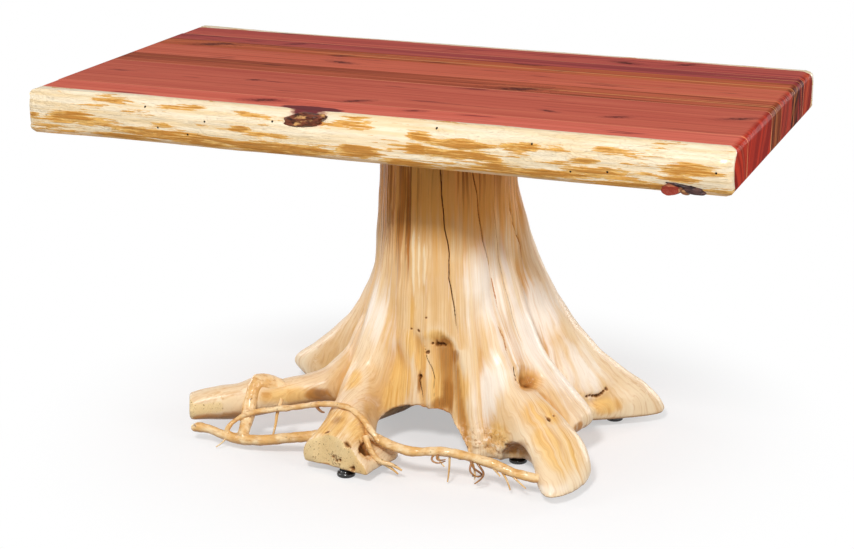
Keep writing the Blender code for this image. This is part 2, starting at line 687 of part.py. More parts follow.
def add_tunnel(bm, bearing, sections):
    """An arched tunnel that runs in under the stump against a bearing."""
    outward, across = bearing_axes(bearing)
    below = -ROOT_UNDERSIDE
    arc_points = 14
    rings = []
    for reach, sidestep, height, half_width in sections:
        ring = []
        for i in range(arc_points + 1):
            angle = math.pi * i / arc_points
            wide = half_width * math.copysign(abs(math.cos(angle)) ** 0.8, math.cos(angle))
            high = below + (height - below) * math.sin(angle) ** 0.8
            ring.append(TRUNK_AXIS + outward * reach + across * (wide + sidestep) + Vector((0, 0, high)))
        rings.append(ring)
    add_loft(bm, rings)


def grow(piece):
    """Melts the overlapping trunk and roots into one grown skin."""
    melt = piece.modifiers.new("melt", "REMESH")
    melt.mode = "VOXEL"
    melt.voxel_size = STUMP_VOXEL
    ease = piece.modifiers.new("ease", "SMOOTH")
    ease.factor = 0.5
    ease.iterations = STUMP_SMOOTHING
    thin = piece.modifiers.new("thin", "DECIMATE")
    thin.ratio = STUMP_KEEP


# Build

def build_turned(name, profile, sides, place, material, parent=None, hexagon_rows=()):
    """One turned piece on its own axis."""
    bm = bmesh.new()
    add_turned(bm, profile, sides, hexagon_rows=hexagon_rows)
    return make_object(name, bm, material, SMOOTH_ANGLE, place, parent)


def turned_cutter(name, profile, sides, places):
    """One cutter for a whole set of like holes."""
    bm = bmesh.new()
    for place in places:
        add_turned(bm, profile, sides, place)
    return make_cutter(name, bm)


def build_top(screw_holes):
    """Boards and their splines, with the grooves for the splines and the holes for the cabinet screws."""
    layout = board_layout()
    bm = bmesh.new()
    for low, high in spline_boxes(layout, FIT_GAP):
        add_box(bm, low, high)
    grooves = make_cutter("spline_grooves", bm)
    for name, front, back in layout:
        live = {layout[0][0]: -1, layout[-1][0]: 1}.get(name, 0)
        bm = bmesh.new()
        front_gap = 0.0 if live < 0 else FIT_GAP / 2
        back_gap = 0.0 if live > 0 else FIT_GAP / 2
        add_board(bm, front + front_gap, back - back_gap, live)
        board = make_object(name, bm, make_material(name + "_wood", BOARD_COLOURS[name], 0.28), SMOOTH_ANGLE)
        cut_away(board, grooves)
        cut_away(board, screw_holes)
    for number, (low, high) in enumerate(spline_boxes(layout), 1):
        bm = bmesh.new()
        add_box(bm, low, high)
        make_object(f"joint_spline_{number}", bm, make_material(f"spline_{number}_wood", SPLINE_COLOUR, 0.7))


def build_plate(screw_holes, lag_holes):
    """Steel plate with its two sets of screws."""
    bm = bmesh.new()
    add_plate(bm)
    plate = make_object("mounting_plate", bm, make_material("plate_steel", PLATE_COLOUR, 0.45, 0.8))
    cut_away(plate, lag_holes)
    cut_away(plate, screw_holes)
    for number, place in enumerate(lag_screw_places(), 1):
        material = make_material(f"lag_screw_{number}_zinc", ZINC_COLOUR, 0.35, 1.0)
        build_turned(f"lag_screw_{number}", lag_screw_profile(), LAG_SIDES, place, material)
    for number, place in enumerate(cabinet_screw_places(), 1):
        material = make_material(f"cabinet_screw_{number}_zinc", ZINC_COLOUR, 0.35, 1.0)
        build_turned(f"cabinet_screw_{number}", cabinet_screw_profile(), CABINET_SIDES, place, material)


def build_stump(lag_holes):
    """Trunk and large roots as one piece of wood, sawn, hollowed and drilled."""
    bm = bmesh.new()
    add_trunk(bm)
    add_roots(bm)
    stump = make_object("stump", bm, make_material("stump_wood", STUMP_COLOUR, 0.3))
    grow(stump)
    shapes = root_saw_shapes()
    for name in ("hollow", "root_gap", "top_saw", "bottom_saw"):
        shapes[name] = bmesh.new()
    add_tunnel(shapes["hollow"], HOLLOW_BEARING, HOLLOW_SECTIONS)
    add_tunnel(shapes["root_gap"], GAP_BEARING, GAP_SECTIONS)
    add_level_saw(shapes["top_saw"], STUMP_TOP, STUMP_TOP + TABLE_HEIGHT)
    add_level_saw(shapes["bottom_saw"], -TABLE_HEIGHT, ROOT_UNDERSIDE)
    cut_away(stump, lag_holes)
    places = [foot_place(foot) for foot in FOOT_PLACES]
    cut_away(stump, turned_cutter("insert_holes", insert_hole_profile(), INSERT_SIDES, places))
    for name, shape in shapes.items():
        cut_away(stump, make_cutter(name, shape))
    return stump


def build_slender_roots(stump):
    """The slender roots, each cut back to a fine gap where it grows out of its neighbour."""
    skin = stump.copy()
    skin.name = "stump_skin"
    bpy.context.collection.objects.link(skin)
    skin.hide_render = True
    skin.display_type = "WIRE"
    swell = skin.modifiers.new("swell", "DISPLACE")
    swell.strength = FIT_GAP
    swell.mid_level = 0.0
    skins = {}
    for name, points, flatness, others in (
            ("low_left_root", LOW_ROOT, 1.0, ()),
            ("trailing_root", TRAILING_ROOT, 1.0, ()),
            ("drop_branch", DROP_BRANCH, DROP_BRANCH_FLATNESS, ("low_left_root",)),
            ("arched_root", ARCHED_ROOT, 1.0, ("low_left_root", "trailing_root"))):
        bm = bmesh.new()
        add_tube(bm, points, 0.0, flatness)
        root = make_object(name, bm, make_material(name + "_wood", ROOT_COLOUR, 0.4), 50)
        cut_away(root, skin)
        for other in others:
            cut_away(root, skins[other])
        bm = bmesh.new()
        add_tube(bm, points, FIT_GAP, flatness)
        skins[name] = make_cutter(name + "_skin", bm)


def build_feet():
    """Insert, stem and pad of each levelling foot."""
    for foot in FOOT_PLACES:
        axis = bpy.data.objects.new(foot + "_foot_axis", None)
        bpy.context.collection.objects.link(axis)
        axis.location = foot_place(foot)
        bm = bmesh.new()
        add_insert(bm)
        zinc = make_material(foot + "_insert_zinc", ZINC_COLOUR, 0.4, 1.0)
        make_object(foot + "_foot_insert", bm, zinc, SMOOTH_ANGLE, parent=axis)
        plastic = make_material(foot + "_pad_plastic", PAD_COLOUR, 0.35)
        build_turned(foot + "_foot_pad", pad_profile(), PAD_SIDES, (0.0, 0.0, 0.0), plastic, axis)
        steel = make_material(foot + "_stem_steel", STEM_COLOUR, 0.4, 1.0)
        build_turned(
            foot + "_foot_stem", stem_profile(), STEM_SIDES, (0.0, 0.0, 0.0), steel, axis, COLLAR_ROWS)


def main():
    """Builds the whole table."""
    clear_scene()
    screw_holes = turned_cutter(
        "cabinet_screw_holes", cabinet_hole_profile(), CABINET_SIDES, cabinet_screw_places())
    lag_holes = turned_cutter("lag_screw_holes", lag_hole_profile(), LAG_SIDES, lag_screw_places())
    build_top(screw_holes)
    build_plate(screw_holes, lag_holes)
    build_slender_roots(build_stump(lag_holes))
    build_feet()


main()
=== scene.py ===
# %% [markdown]
# # A coffee table on a tree stump
# Seven red cedar boards are glued into a slab with a natural live edge, and the slab is screwed to a
# peeled stump that stands on its own roots. This lesson dresses the plain CAD solids of that table.
# The frame comes first: it puts every CAD node at its place in metres, so each new piece can be
# modelled where it belongs, with no fitting afterwards.

# %% Load the frame
import math

import bpy
import numpy as np
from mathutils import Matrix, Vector, noise


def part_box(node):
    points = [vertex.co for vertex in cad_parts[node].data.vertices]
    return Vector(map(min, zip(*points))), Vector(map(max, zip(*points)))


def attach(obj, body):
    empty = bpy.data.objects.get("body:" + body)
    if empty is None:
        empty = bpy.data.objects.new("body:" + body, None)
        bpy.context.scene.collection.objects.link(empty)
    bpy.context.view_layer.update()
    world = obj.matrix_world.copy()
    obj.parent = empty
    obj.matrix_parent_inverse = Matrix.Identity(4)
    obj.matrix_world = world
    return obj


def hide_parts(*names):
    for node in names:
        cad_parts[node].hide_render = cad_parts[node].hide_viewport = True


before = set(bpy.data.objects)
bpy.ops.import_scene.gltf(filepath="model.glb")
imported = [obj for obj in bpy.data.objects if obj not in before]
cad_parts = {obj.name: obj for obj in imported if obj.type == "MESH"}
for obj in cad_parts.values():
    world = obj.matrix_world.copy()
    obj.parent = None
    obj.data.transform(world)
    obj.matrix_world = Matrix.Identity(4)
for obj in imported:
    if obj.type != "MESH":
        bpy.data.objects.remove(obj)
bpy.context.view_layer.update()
FEET = ("front_left", "front_right", "back_right", "back_left")

# %% [markdown]
# ## Camera and room
# A studio photograph of furniture is mostly a long lens, a pale sweep and a few large lamps. The camera
# stands where the two long edges of the slab run together as they do in the picture. The floor is one
# plane, wide enough to fill the view, so no horizon shows.

# %% Camera
CAMERA_PLACE = (0.9118, -2.3974, 1.0194)
LOOK_DOWN = 17.48
LOOK_LEFT = 20.92
SENSOR_WIDTH = 36.0
LENS = 84.31
CAMERA_TURN = (math.radians(90 - LOOK_DOWN), 0.0, math.radians(LOOK_LEFT))
bpy.ops.object.camera_add(location=CAMERA_PLACE, rotation=CAMERA_TURN)
camera = bpy.context.active_object
camera.name = "camera"
camera.data.sensor_width = SENSOR_WIDTH
camera.data.lens = LENS
bpy.context.scene.camera = camera
bpy.context.scene.view_settings.view_transform = "Standard"
print("camera lens", camera.data.lens)

# %% Lamps
TARGET = Vector((0.02, -0.05, 0.25))


def add_softbox(name, bearing, rise, distance, size, power):
    """A square lamp that looks at the table from a bearing and a rise in degrees."""
    level = math.cos(math.radians(rise))
    away = Vector((
        math.cos(math.radians(bearing)) * level,
        math.sin(math.radians(bearing)) * level,
        math.sin(math.radians(rise)),
    ))
    bpy.ops.object.light_add(type="AREA", location=TARGET + away * distance)
    lamp = bpy.context.active_object
    lamp.name = name
    lamp.rotation_euler = away.to_track_quat("Z", "Y").to_euler()
    lamp.data.size = size
    lamp.data.energy = power
    print(name, "at", [round(value, 2) for value in lamp.location])


add_softbox("front_softbox", 276, 41, 3.0, 0.45, 66)
add_softbox("right_softbox", 338, 18, 2.6, 0.9, 20)
add_softbox("left_softbox", 208, 20, 2.6, 0.9, 13)
add_softbox("back_right_softbox", 58, 9, 3.0, 1.2, 32)
add_softbox("back_left_softbox", 160, 9, 3.0, 1.2, 21)

# %% [markdown]
# ## Sockets that do arithmetic
# A finish is a sum of many small patterns. Wiring them by hand takes hundreds of links, so one class
# wraps a socket: adding or multiplying two of them adds the Math node that does it. Every other kind
# of node comes from the same method.


# %% The wire class
class Wire:
    """A socket of a node tree that Python's operators can build on."""

    def __init__(self, socket):
        self.socket = socket

    def node(self, kind, settings, inputs, output=0):
        """Adds a node, sets it up, feeds its sockets and returns one of its outputs."""
        tree = self.socket.id_data
        made = tree.nodes.new(kind)
        for name, value in settings.items():
            setattr(made, name, value)
        for name, value in inputs.items():
            if isinstance(value, Wire):
                tree.links.new(value.socket, made.inputs[name])
            else:
                made.inputs[name].default_value = value
        return Wire(made.outputs[output])

    def math(self, operation, *values):
        """Adds a Math node that works on one or two values."""
        return self.node("ShaderNodeMath", {"operation": operation}, dict(enumerate(values)))

    def __add__(self, other):
        return self.math("ADD", self, other)

    def __radd__(self, other):
        return self.math("ADD", other, self)

    def __sub__(self, other):
        return self.math("SUBTRACT", self, other)

    def __rsub__(self, other):
        return self.math("SUBTRACT", other, self)

    def __mul__(self, other):
        return self.math("MULTIPLY", self, other)

    def __rmul__(self, other):
        return self.math("MULTIPLY", other, self)

    def __truediv__(self, other):
        return self.math("DIVIDE", self, other)

    def __pow__(self, other):
        return self.math("POWER", self, other)

    def __abs__(self):
        return self.math("ABSOLUTE", self)


print("wire operators ready")


# %% Short words for common nodes
def paint(red, green, blue):
    """A colour as a screen shows it, from 0 to 255, turned into the light that the shader works in."""
    parts = [value / 255 for value in (red, green, blue)]
    linear = [part / 12.92 if part < 0.04045 else ((part + 0.055) / 1.055) ** 2.4 for part in parts]
    return (*linear, 1.0)


def new_finish(name, roughness, coat=0.0, coat_roughness=0.1, specular=0.5):
    """A material with its Principled shader, and the Object coordinates to draw patterns on."""
    material = bpy.data.materials.new(name)
    material.use_nodes = True
    shader = material.node_tree.nodes["Principled BSDF"]
    shader.inputs["Roughness"].default_value = roughness
    shader.inputs["Coat Weight"].default_value = coat
    shader.inputs["Coat Roughness"].default_value = coat_roughness
    shader.inputs["Specular IOR Level"].default_value = specular
    place = material.node_tree.nodes.new("ShaderNodeTexCoord")
    return material, shader, Wire(place.outputs["Object"])


def feed(shader, socket, wire):
    """Links a pattern to one of the shader's sockets."""
    shader.id_data.links.new(wire.socket, shader.inputs[socket])


def axes_of(point):
    """The x, y and z of a point."""
    return [point.node("ShaderNodeSeparateXYZ", {}, {0: point}, axis) for axis in range(3)]


def vector_of(x, y, z):
    """A point from an x that is a pattern, and a y and z that may be numbers."""
    return x.node("ShaderNodeCombineXYZ", {}, {0: x, 1: y, 2: z})


def cloud(point, stretch, detail=3.0, roughness=0.55):
    """Soft noise from 0 to 1; a large stretch along an axis makes it change quickly there."""
    spread = point.node("ShaderNodeVectorMath", {"operation": "MULTIPLY"}, {0: point, 1: stretch})
    return spread.node(
        "ShaderNodeTexNoise", {}, {"Vector": spread, "Scale": 1.0, "Detail": detail, "Roughness": roughness}
    )


def fade(value, start, end):
    """0 at start, 1 at end and smooth between them."""
    return value.node(
        "ShaderNodeMapRange",
        {"interpolation_type": "SMOOTHSTEP"},
        {"Value": value, "From Min": start, "From Max": end},
    )


def tint(factor, below, above):
    """One colour where the factor is 0, the other where it is 1; plain numbers are screen colours."""
    below, above = [value if isinstance(value, Wire) else paint(*value) for value in (below, above)]
    return factor.node("ShaderNodeMix", {"data_type": "RGBA"}, {0: factor, 6: below, 7: above}, 2)


def relief(height, distance):
    """A bump whose full height is the given distance in metres."""
    return height.node("ShaderNodeBump", {}, {"Strength": 1.0, "Distance": distance, "Height": height})


def attribute(point, name):
    """A mark that was left on the points of the mesh while it was shaped."""
    return point.node("ShaderNodeAttribute", {"attribute_name": name}, {}, 2)


print("finish helpers ready")

# %% [markdown]
# The room is white to the camera and to reflections, but gives the object only a modest even light,
# so that its colours stay as they are mixed. Light Path tells the two apart. The floor takes shadows
# near the table and turns plain white away from it.


# %% White room
def seen_share(tree):
    """1 for rays of the camera, of reflections and through clear matter, 0 for light on a surface."""
    path = tree.nodes.new("ShaderNodeLightPath")
    kinds = ("Is Camera Ray", "Is Glossy Ray", "Is Transmission Ray")
    straight, mirrored, through = [Wire(path.outputs[kind]) for kind in kinds]
    return fade(straight + mirrored + through, 0.0, 1.0)


ROOM_LIGHT = 0.11
world = bpy.data.worlds.new("white_room")
bpy.context.scene.world = world
world.use_nodes = True
sky = world.node_tree.nodes["Background"]
sky.inputs["Color"].default_value = (1.0, 1.0, 1.0, 1.0)
brightness = ROOM_LIGHT + seen_share(world.node_tree) * (1 - ROOM_LIGHT)
world.node_tree.links.new(brightness.socket, sky.inputs["Strength"])
print("room light ready")

# %% Pale floor
FLOOR_SIZE = 14.0
WHITE_UNDER_TABLE = 0.45
TURNS_WHITE = (0.18, 0.58)
bpy.ops.object.select_all(action="DESELECT")
bpy.ops.mesh.primitive_plane_add(size=FLOOR_SIZE, location=(0.0, 0.0, 0.0))
floor = bpy.context.active_object
floor.name = "floor"
floor_finish, floor_shader, floor_point = new_finish("pale_floor", 0.9)
mottle = cloud(floor_point, (3.0, 3.0, 3.0))
floor_x, floor_y = axes_of(floor_point)[:2]
away = (floor_x * floor_x + floor_y * floor_y) ** 0.5
looked_at = seen_share(floor_finish.node_tree)
pale_floor = tint(mottle, (246, 246, 246), (250, 250, 250))
feed(floor_shader, "Base Color", tint(looked_at, (176, 176, 176), pale_floor))
sweep = away.node("ShaderNodeEmission", {}, {"Color": (1.0, 1.0, 1.0, 1.0), "Strength": 1.0})
white_share = WHITE_UNDER_TABLE + fade(away, *TURNS_WHITE) * (1 - WHITE_UNDER_TABLE)
blend = away.node(
    "ShaderNodeMixShader",
    {},
    {0: white_share * looked_at, 1: Wire(floor_shader.outputs["BSDF"]), 2: sweep},
)
floor_output = floor_finish.node_tree.nodes["Material Output"]
floor_finish.node_tree.links.new(blend.socket, floor_output.inputs["Surface"])
floor.data.materials.append(floor_finish)
print("floor", floor.dimensions[:2])

# %% [markdown]
# ## Small modelling helpers
# Operators act on whatever is selected, so a piece starts by clearing the selection. Edges are chosen
# in code by where their two ends lie. For a sculpted surface the points are read into one array,
# moved, and written back.


# %% Selecting and moving points
def start_cube(name, low, high):
    """A cube primitive stretched between two corners, with its place in the mesh."""
    bpy.ops.object.select_all(action="DESELECT")
    middle = [(a + b) / 2 for a, b in zip(low, high)]
    bpy.ops.mesh.primitive_cube_add(size=1.0, location=middle)
    piece = bpy.context.active_object
    piece.name = name
    piece.scale = [b - a for a, b in zip(low, high)]
    bpy.ops.object.transform_apply(location=True, rotation=True, scale=True)
    return piece


def edit_only(piece, kind, wanted):
    """Goes into edit mode with only those edges or faces selected whose corner numbers are wanted."""
    bpy.ops.object.mode_set(mode="EDIT")
    bpy.ops.mesh.select_mode(type=kind)
    bpy.ops.mesh.select_all(action="DESELECT")
    bpy.ops.object.mode_set(mode="OBJECT")
    elements = piece.data.edges if kind == "EDGE" else piece.data.polygons
    for element in elements:
        element.select = wanted(element.vertices)
    bpy.ops.object.mode_set(mode="EDIT")


def edit_edges(piece, wanted):
    """Goes into edit mode with only the edges selected whose two ends satisfy wanted."""
    points = [vertex.co.copy() for vertex in piece.data.vertices]
    edit_only(piece, "EDGE", lambda ends: wanted(points[ends[0]], points[ends[1]]))


def read_points(piece, what="co"):
    """A row of x, y and z for each point of a mesh: its place, or its normal."""
    flat = np.empty(len(piece.data.vertices) * 3)
    piece.data.vertices.foreach_get(what, flat)
    return flat.reshape(-1, 3)


def write_points(piece, points):
    """Puts moved points back into the mesh."""
    piece.data.vertices.foreach_set("co", points.ravel())
    piece.data.update()


def lumps(points, stretch, seed):
    """Smooth noise from about -1 to 1 at each point."""
    shift = Vector((seed * 13.7, seed * 5.1, seed * 9.3))
    return np.array([noise.noise(Vector(point) + shift) for point in points * np.array(stretch)])


def leave_mark(piece, name, values):
    """Stores one number per point of a mesh under a name that a finish can read."""
    mark = piece.data.attributes.new(name, "FLOAT", "POINT")
    mark.data.foreach_set("value", values.astype(np.float32))


def soft_step(values, start, end):
    """0 at start, 1 at end and smooth between them, for arrays."""
    share = np.clip((values - start) / (end - start), 0.0, 1.0)
    return share * share * (3 - 2 * share)


def select_only(*pieces):
    """Selects some pieces and nothing else, and makes the first of them active."""
    bpy.ops.object.select_all(action="DESELECT")
    for piece in pieces:
        piece.select_set(True)
    bpy.context.view_layer.objects.active = pieces[0]


def join_pieces(name, pieces):
    """Joins pieces into the first of them."""
    select_only(*pieces)
    bpy.ops.object.join()
    pieces[0].name = name
    return pieces[0]


def even_out(piece, voxel, rounds):
    """Remeshes a piece into small even quads and smooths it some rounds."""
    remesh = piece.modifiers.new("even_quads", "REMESH")
    remesh.mode = "VOXEL"
    remesh.voxel_size = voxel
    soften = piece.modifiers.new("soften", "SMOOTH")
    soften.factor = 0.5
    soften.iterations = rounds
    bpy.context.view_layer.objects.active = piece
    for modifier in ("even_quads", "soften"):
        bpy.ops.object.modifier_apply(modifier=modifier)


def hand_over(piece, body, slot, finish, *nodes):
    """Gives a piece its finish, its body and the CAD nodes that it stands for; the slot is not used."""
    piece.data.materials.clear()
    piece.data.materials.append(finish)
    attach(piece, body)
    if nodes:
        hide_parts(*nodes)
    print(piece.name, len(piece.data.vertices), "points")


print("modelling helpers ready")

# %% [markdown]
# ## Red cedar
# Cedar heartwood is a pinkish red with thin darker lines along the grain, dark dashes, and knots that
# the grain flows around. A solid pattern is drawn in three dimensions: distance from the pith of the
# log gives the year rings, so the same rings show as long lines on top and as arcs on the sawn ends.

# %% Heartwood pattern
SAWN_FROM_TO = (0.4465, 0.4545)


def heartwood(point, look):
    """Colour and surface height of a cedar board, from its pith, its colours and its knots."""
    x, y, z = axes_of(point)
    drift = cloud(point, (1.7, 9.0, 9.0), 2.0) - 0.5
    bent = y
    knot_halo = drift * 0.0
    knot_core = drift * 0.0
    gnarl = cloud(point, (150.0, 480.0, 160.0), 3.0, 0.65) - 0.5
    for knot_x, knot_y, size in look["knots"]:
        along = x - knot_x
        lean = 0.15 + 0.35 * math.sin(knot_x * 29.0 + knot_y * 60.0)
        across = y - knot_y - along * lean
        reach = (across * across + along * along * 0.12) ** 0.5 + gnarl * size * 3.0
        bent = bent - across * fade(reach, size * 4.0, 0.0) * 0.75
        knot_halo = knot_halo + fade(reach, size * 2.6, size * 0.5)
        knot_core = knot_core + fade(reach, size * 0.95, size * 0.35)
    pith_y, pith_z = look["pith"]
    rise = z - pith_z
    side = bent - pith_y
    ring = (side * side + rise * rise) ** 0.5 + drift * 0.014
    seed = look["seed"]

    def on_rings(across, along, shift, detail, roughness=0.55):
        """Noise drawn on the year rings, with how fast it changes across them and along the board."""
        return cloud(vector_of(ring * across, x * along, seed + shift), (1.0, 1.0, 1.0), detail, roughness)

    bands = on_rings(60.0, 1.3, 0.0, 3.0, 0.6)
    lines = on_rings(240.0, 2.6, 2.0, 3.0, 0.65)
    fibre = cloud(point, (26.0, 1500.0, 1500.0), 2.0)
    dash_area = fade(cloud(point, (3.6, 30.0, 30.0), 1.0), 0.46, 0.60)
    dashes = fade(on_rings(170.0, 11.0, 4.0, 2.0), 0.60, 0.70)
    pale_lines = fade(on_rings(190.0, 1.5, 9.0, 2.0), 0.60, 0.70)
    colour = tint(fade(bands, 0.36, 0.64), look["heart"], look["second"])
    colour = tint(fade(lines, 0.48, 0.66) * look["line_share"], colour, look["line"])
    colour = tint(pale_lines * look["pale_share"], colour, look["pale"])
    colour = tint(dashes * dash_area * 0.75, colour, look["dash"])
    colour = tint(fibre * 0.14, colour, look["line"])
    sawn = tint(fade(bands, 0.4, 0.62), look["end"], look["end_dark"])
    sawn = tint(fade(lines, 0.5, 0.68) * 0.45, sawn, look["end_dark"])
    sawn = tint(pale_lines * look["end_pale_share"], sawn, look["pale"])
    for gold_y, gold_from, gold_to, gold_half in look.get("gold", []):
        off = y - gold_y + (cloud(point, (4.0, 0.0, 12.0), 2.0) - 0.5) * 0.006
        gold = fade(abs(off), gold_half, gold_half * 0.3)
        gold = gold * fade(x, gold_from, gold_from + 0.12) * fade(x, gold_to + 0.05, gold_to)
        colour = tint(gold * 0.8, colour, (238, 160, 100))
        sawn = tint(gold * 0.8, sawn, (226, 140, 80))
    # Painted highlight: a pale rim along a joint, wider towards the bottom of the sawn ends.
    for rim_y, rim_half in look.get("rims", []):
        off = abs(y - rim_y) + (bands - 0.5) * rim_half
        colour = tint(fade(off, rim_half, rim_half * 0.4) * 0.7, colour, (236, 158, 116))
        low_off = off / (1 + fade(z, 0.472, 0.430) * 1.6)
        sawn = tint(fade(low_off, rim_half, rim_half * 0.4) * 0.9, sawn, (240, 160, 108))
    colour = tint(fade(knot_halo, 0.0, 1.6) * 0.7, colour, look["dash"])
    colour = tint(fade(knot_core, 0.1, 0.8) * 0.75, colour, (70, 30, 28))
    colour = tint(fade(abs(x), *SAWN_FROM_TO), colour, sawn)
    height = fibre * 0.35 + lines * 0.25 - knot_core * 0.3
    return colour, height, fibre


SATIN_SPECULAR = 0.0


def cedar_finish(name, look):
    """The satin lacquered finish of one plain cedar board."""
    finish, shader, point = new_finish(name, 0.4, 0.06, 0.22, SATIN_SPECULAR)
    colour, height, fibre = heartwood(point, look)
    feed(shader, "Base Color", colour)
    feed(shader, "Roughness", 0.36 + fibre * 0.12)
    feed(shader, "Normal", relief(height, 0.00018))
    return finish


print("heartwood pattern ready")

# %% [markdown]
# Each board came from another tree or another part of it, so each has its own colours, its own pith
# and its own knots. They are written down board by board, from the front of the slab to the back. A
# knot has an x, a y and a size; a golden streak a y, the x where it starts and ends, and a half width;
# a pale rim, which is a painted highlight along a joint, a y and a half width.

# %% Colours of the boards
DARK_DASH = (108, 44, 44)
LOOKS = {
    "front_live_edge_board": {
        "heart": (232, 122, 101), "second": (220, 108, 88), "line": (162, 60, 50),
        "dash": (124, 46, 50), "pale": (232, 148, 114), "end": (202, 60, 38),
        "end_dark": (140, 32, 23), "line_share": 0.45, "pale_share": 0.35, "end_pale_share": 0.35,
        "pith": (-0.30, 0.39), "seed": 1.3, "knots": [(-0.1466, -0.1957, 0.0075), (0.05, -0.185, 0.004)],
    },
    "wide_red_board": {
        "heart": (213, 109, 86), "second": (201, 96, 77), "line": (158, 58, 44),
        "dash": DARK_DASH, "pale": (230, 138, 100), "end": (200, 54, 32),
        "end_dark": (150, 34, 22), "line_share": 0.42, "pale_share": 0.35, "end_pale_share": 0.12,
        "pith": (0.07, 0.36), "seed": 5.7,
        "knots": [(-0.0376, -0.1602, 0.0055), (0.2885, -0.1298, 0.0045), (0.2026, -0.128, 0.0035),
                  (0.4283, -0.0876, 0.006), (-0.21, -0.09, 0.003)],
        "rims": [(-0.0350, 0.0022), (-0.1732, 0.0016)],
    },
    "brown_board": {
        "heart": (208, 104, 72), "second": (168, 78, 52), "line": (98, 42, 28),
        "dash": (86, 36, 28), "pale": (212, 126, 62), "end": (142, 62, 28),
        "end_dark": (86, 38, 18), "line_share": 0.7, "pale_share": 0.3, "end_pale_share": 0.6,
        "pith": (0.12, 0.38), "seed": 9.1, "knots": [(0.1312, -0.0205, 0.0085)],
        "gold": [(-0.010, 0.06, 0.46, 0.0022), (-0.003, 0.25, 0.46, 0.0012)],
    },
    "light_red_board": {
        "heart": (226, 116, 88), "second": (214, 103, 78), "line": (150, 60, 44),
        "dash": DARK_DASH, "pale": (230, 150, 102), "end": (194, 64, 44),
        "end_dark": (138, 38, 30), "line_share": 0.42, "pale_share": 0.35, "end_pale_share": 0.15,
        "pith": (-0.06, 0.50), "seed": 13.9, "knots": [(-0.15, 0.055, 0.006)],
        "gold": [(0.024, 0.26, 0.45, 0.0012)],
    },
    "streaked_board": {
        "heart": (196, 94, 60), "second": (216, 113, 72), "line": (110, 46, 28),
        "dash": (98, 38, 34), "pale": (216, 136, 66), "end": (128, 48, 26),
        "end_dark": (70, 30, 18), "line_share": 0.6, "pale_share": 0.35, "end_pale_share": 0.35,
        "pith": (0.20, 0.36), "seed": 17.3, "knots": [(-0.3683, 0.1105, 0.009), (-0.1713, 0.0931, 0.005)],
        "gold": [(0.106, -0.26, 0.46, 0.0024), (0.122, -0.20, -0.02, 0.0014)],
    },
    "purple_board": {
        "heart": (196, 88, 80), "second": (172, 73, 70), "line": (114, 42, 46),
        "dash": (96, 34, 42), "pale": (212, 130, 98), "end": (156, 48, 42),
        "end_dark": (86, 28, 30), "line_share": 0.6, "pale_share": 0.3, "end_pale_share": 0.4,
        "pith": (0.05, 0.40), "seed": 21.1, "knots": [(-0.26, 0.152, 0.005)],
        "gold": [(0.140, -0.12, 0.02, 0.0012), (0.152, 0.30, 0.46, 0.0014)],
        "rims": [(0.1680, 0.0016)],
    },
    "back_live_edge_board": {
        "heart": (216, 106, 90), "second": (192, 85, 79), "line": (130, 48, 50),
        "dash": (104, 38, 42), "pale": (222, 136, 100), "end": (214, 86, 56),
        "end_dark": (146, 48, 38), "line_share": 0.5, "pale_share": 0.3, "end_pale_share": 0.3,
        "pith": (0.32, 0.40), "seed": 25.7,
        "knots": [(0.2116, 0.1878, 0.006), (0.2906, 0.2035, 0.005), (-0.31, 0.222, 0.005)],
    },
}
print(len(LOOKS), "boards described")

# %% [markdown]
# ## The plain boards
# The five boards in the middle are sawn straight, and only their ends are rounded over with a router.
# A cube is stretched to the board's own box, and the bevel operator rounds the four end edges. More
# segments than the CAD solid has make the round-over smooth in close views.

# %% Five straight boards
END_ROUND = 0.009
NEARLY_NOTHING = 0.001
HALF_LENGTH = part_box("wide_red_board")[1][0]
PLAIN_BOARDS = ("wide_red_board", "brown_board", "light_red_board", "streaked_board", "purple_board")


def is_end_edge(first, second):
    """True for the level edges that run across the grain at the two ends."""
    across = abs(first.y - second.y) > NEARLY_NOTHING
    return across and abs(abs(first.x) - HALF_LENGTH) < NEARLY_NOTHING


for node in PLAIN_BOARDS:
    low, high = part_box(node)
    board = start_cube(node.replace("_board", "_cedar"), low, high)
    edit_edges(board, is_end_edge)
    bpy.ops.mesh.bevel(offset=END_ROUND, segments=7, profile=0.5)
    bpy.ops.object.mode_set(mode="OBJECT")
    bpy.ops.object.shade_smooth_by_angle(angle=math.radians(35))
    finish = cedar_finish(node + "_finish", LOOKS[node])
    hand_over(board, "table", node, finish, node)

# %% [markdown]
# ## The live edges
# The outer side of the first and the last board is the outside of the log itself: a bulging, slightly
# wavy edge of cream sapwood with scraps of golden inner bark. A cube is subdivided into a fine grid
# with the subdivide operator, and then the grid is pushed into the bulge, the waves and the hollow
# around the knot, as a sculptor's brush would do it. Each scrap of bark has an x, a height, a half
# length, a half height and a strength.

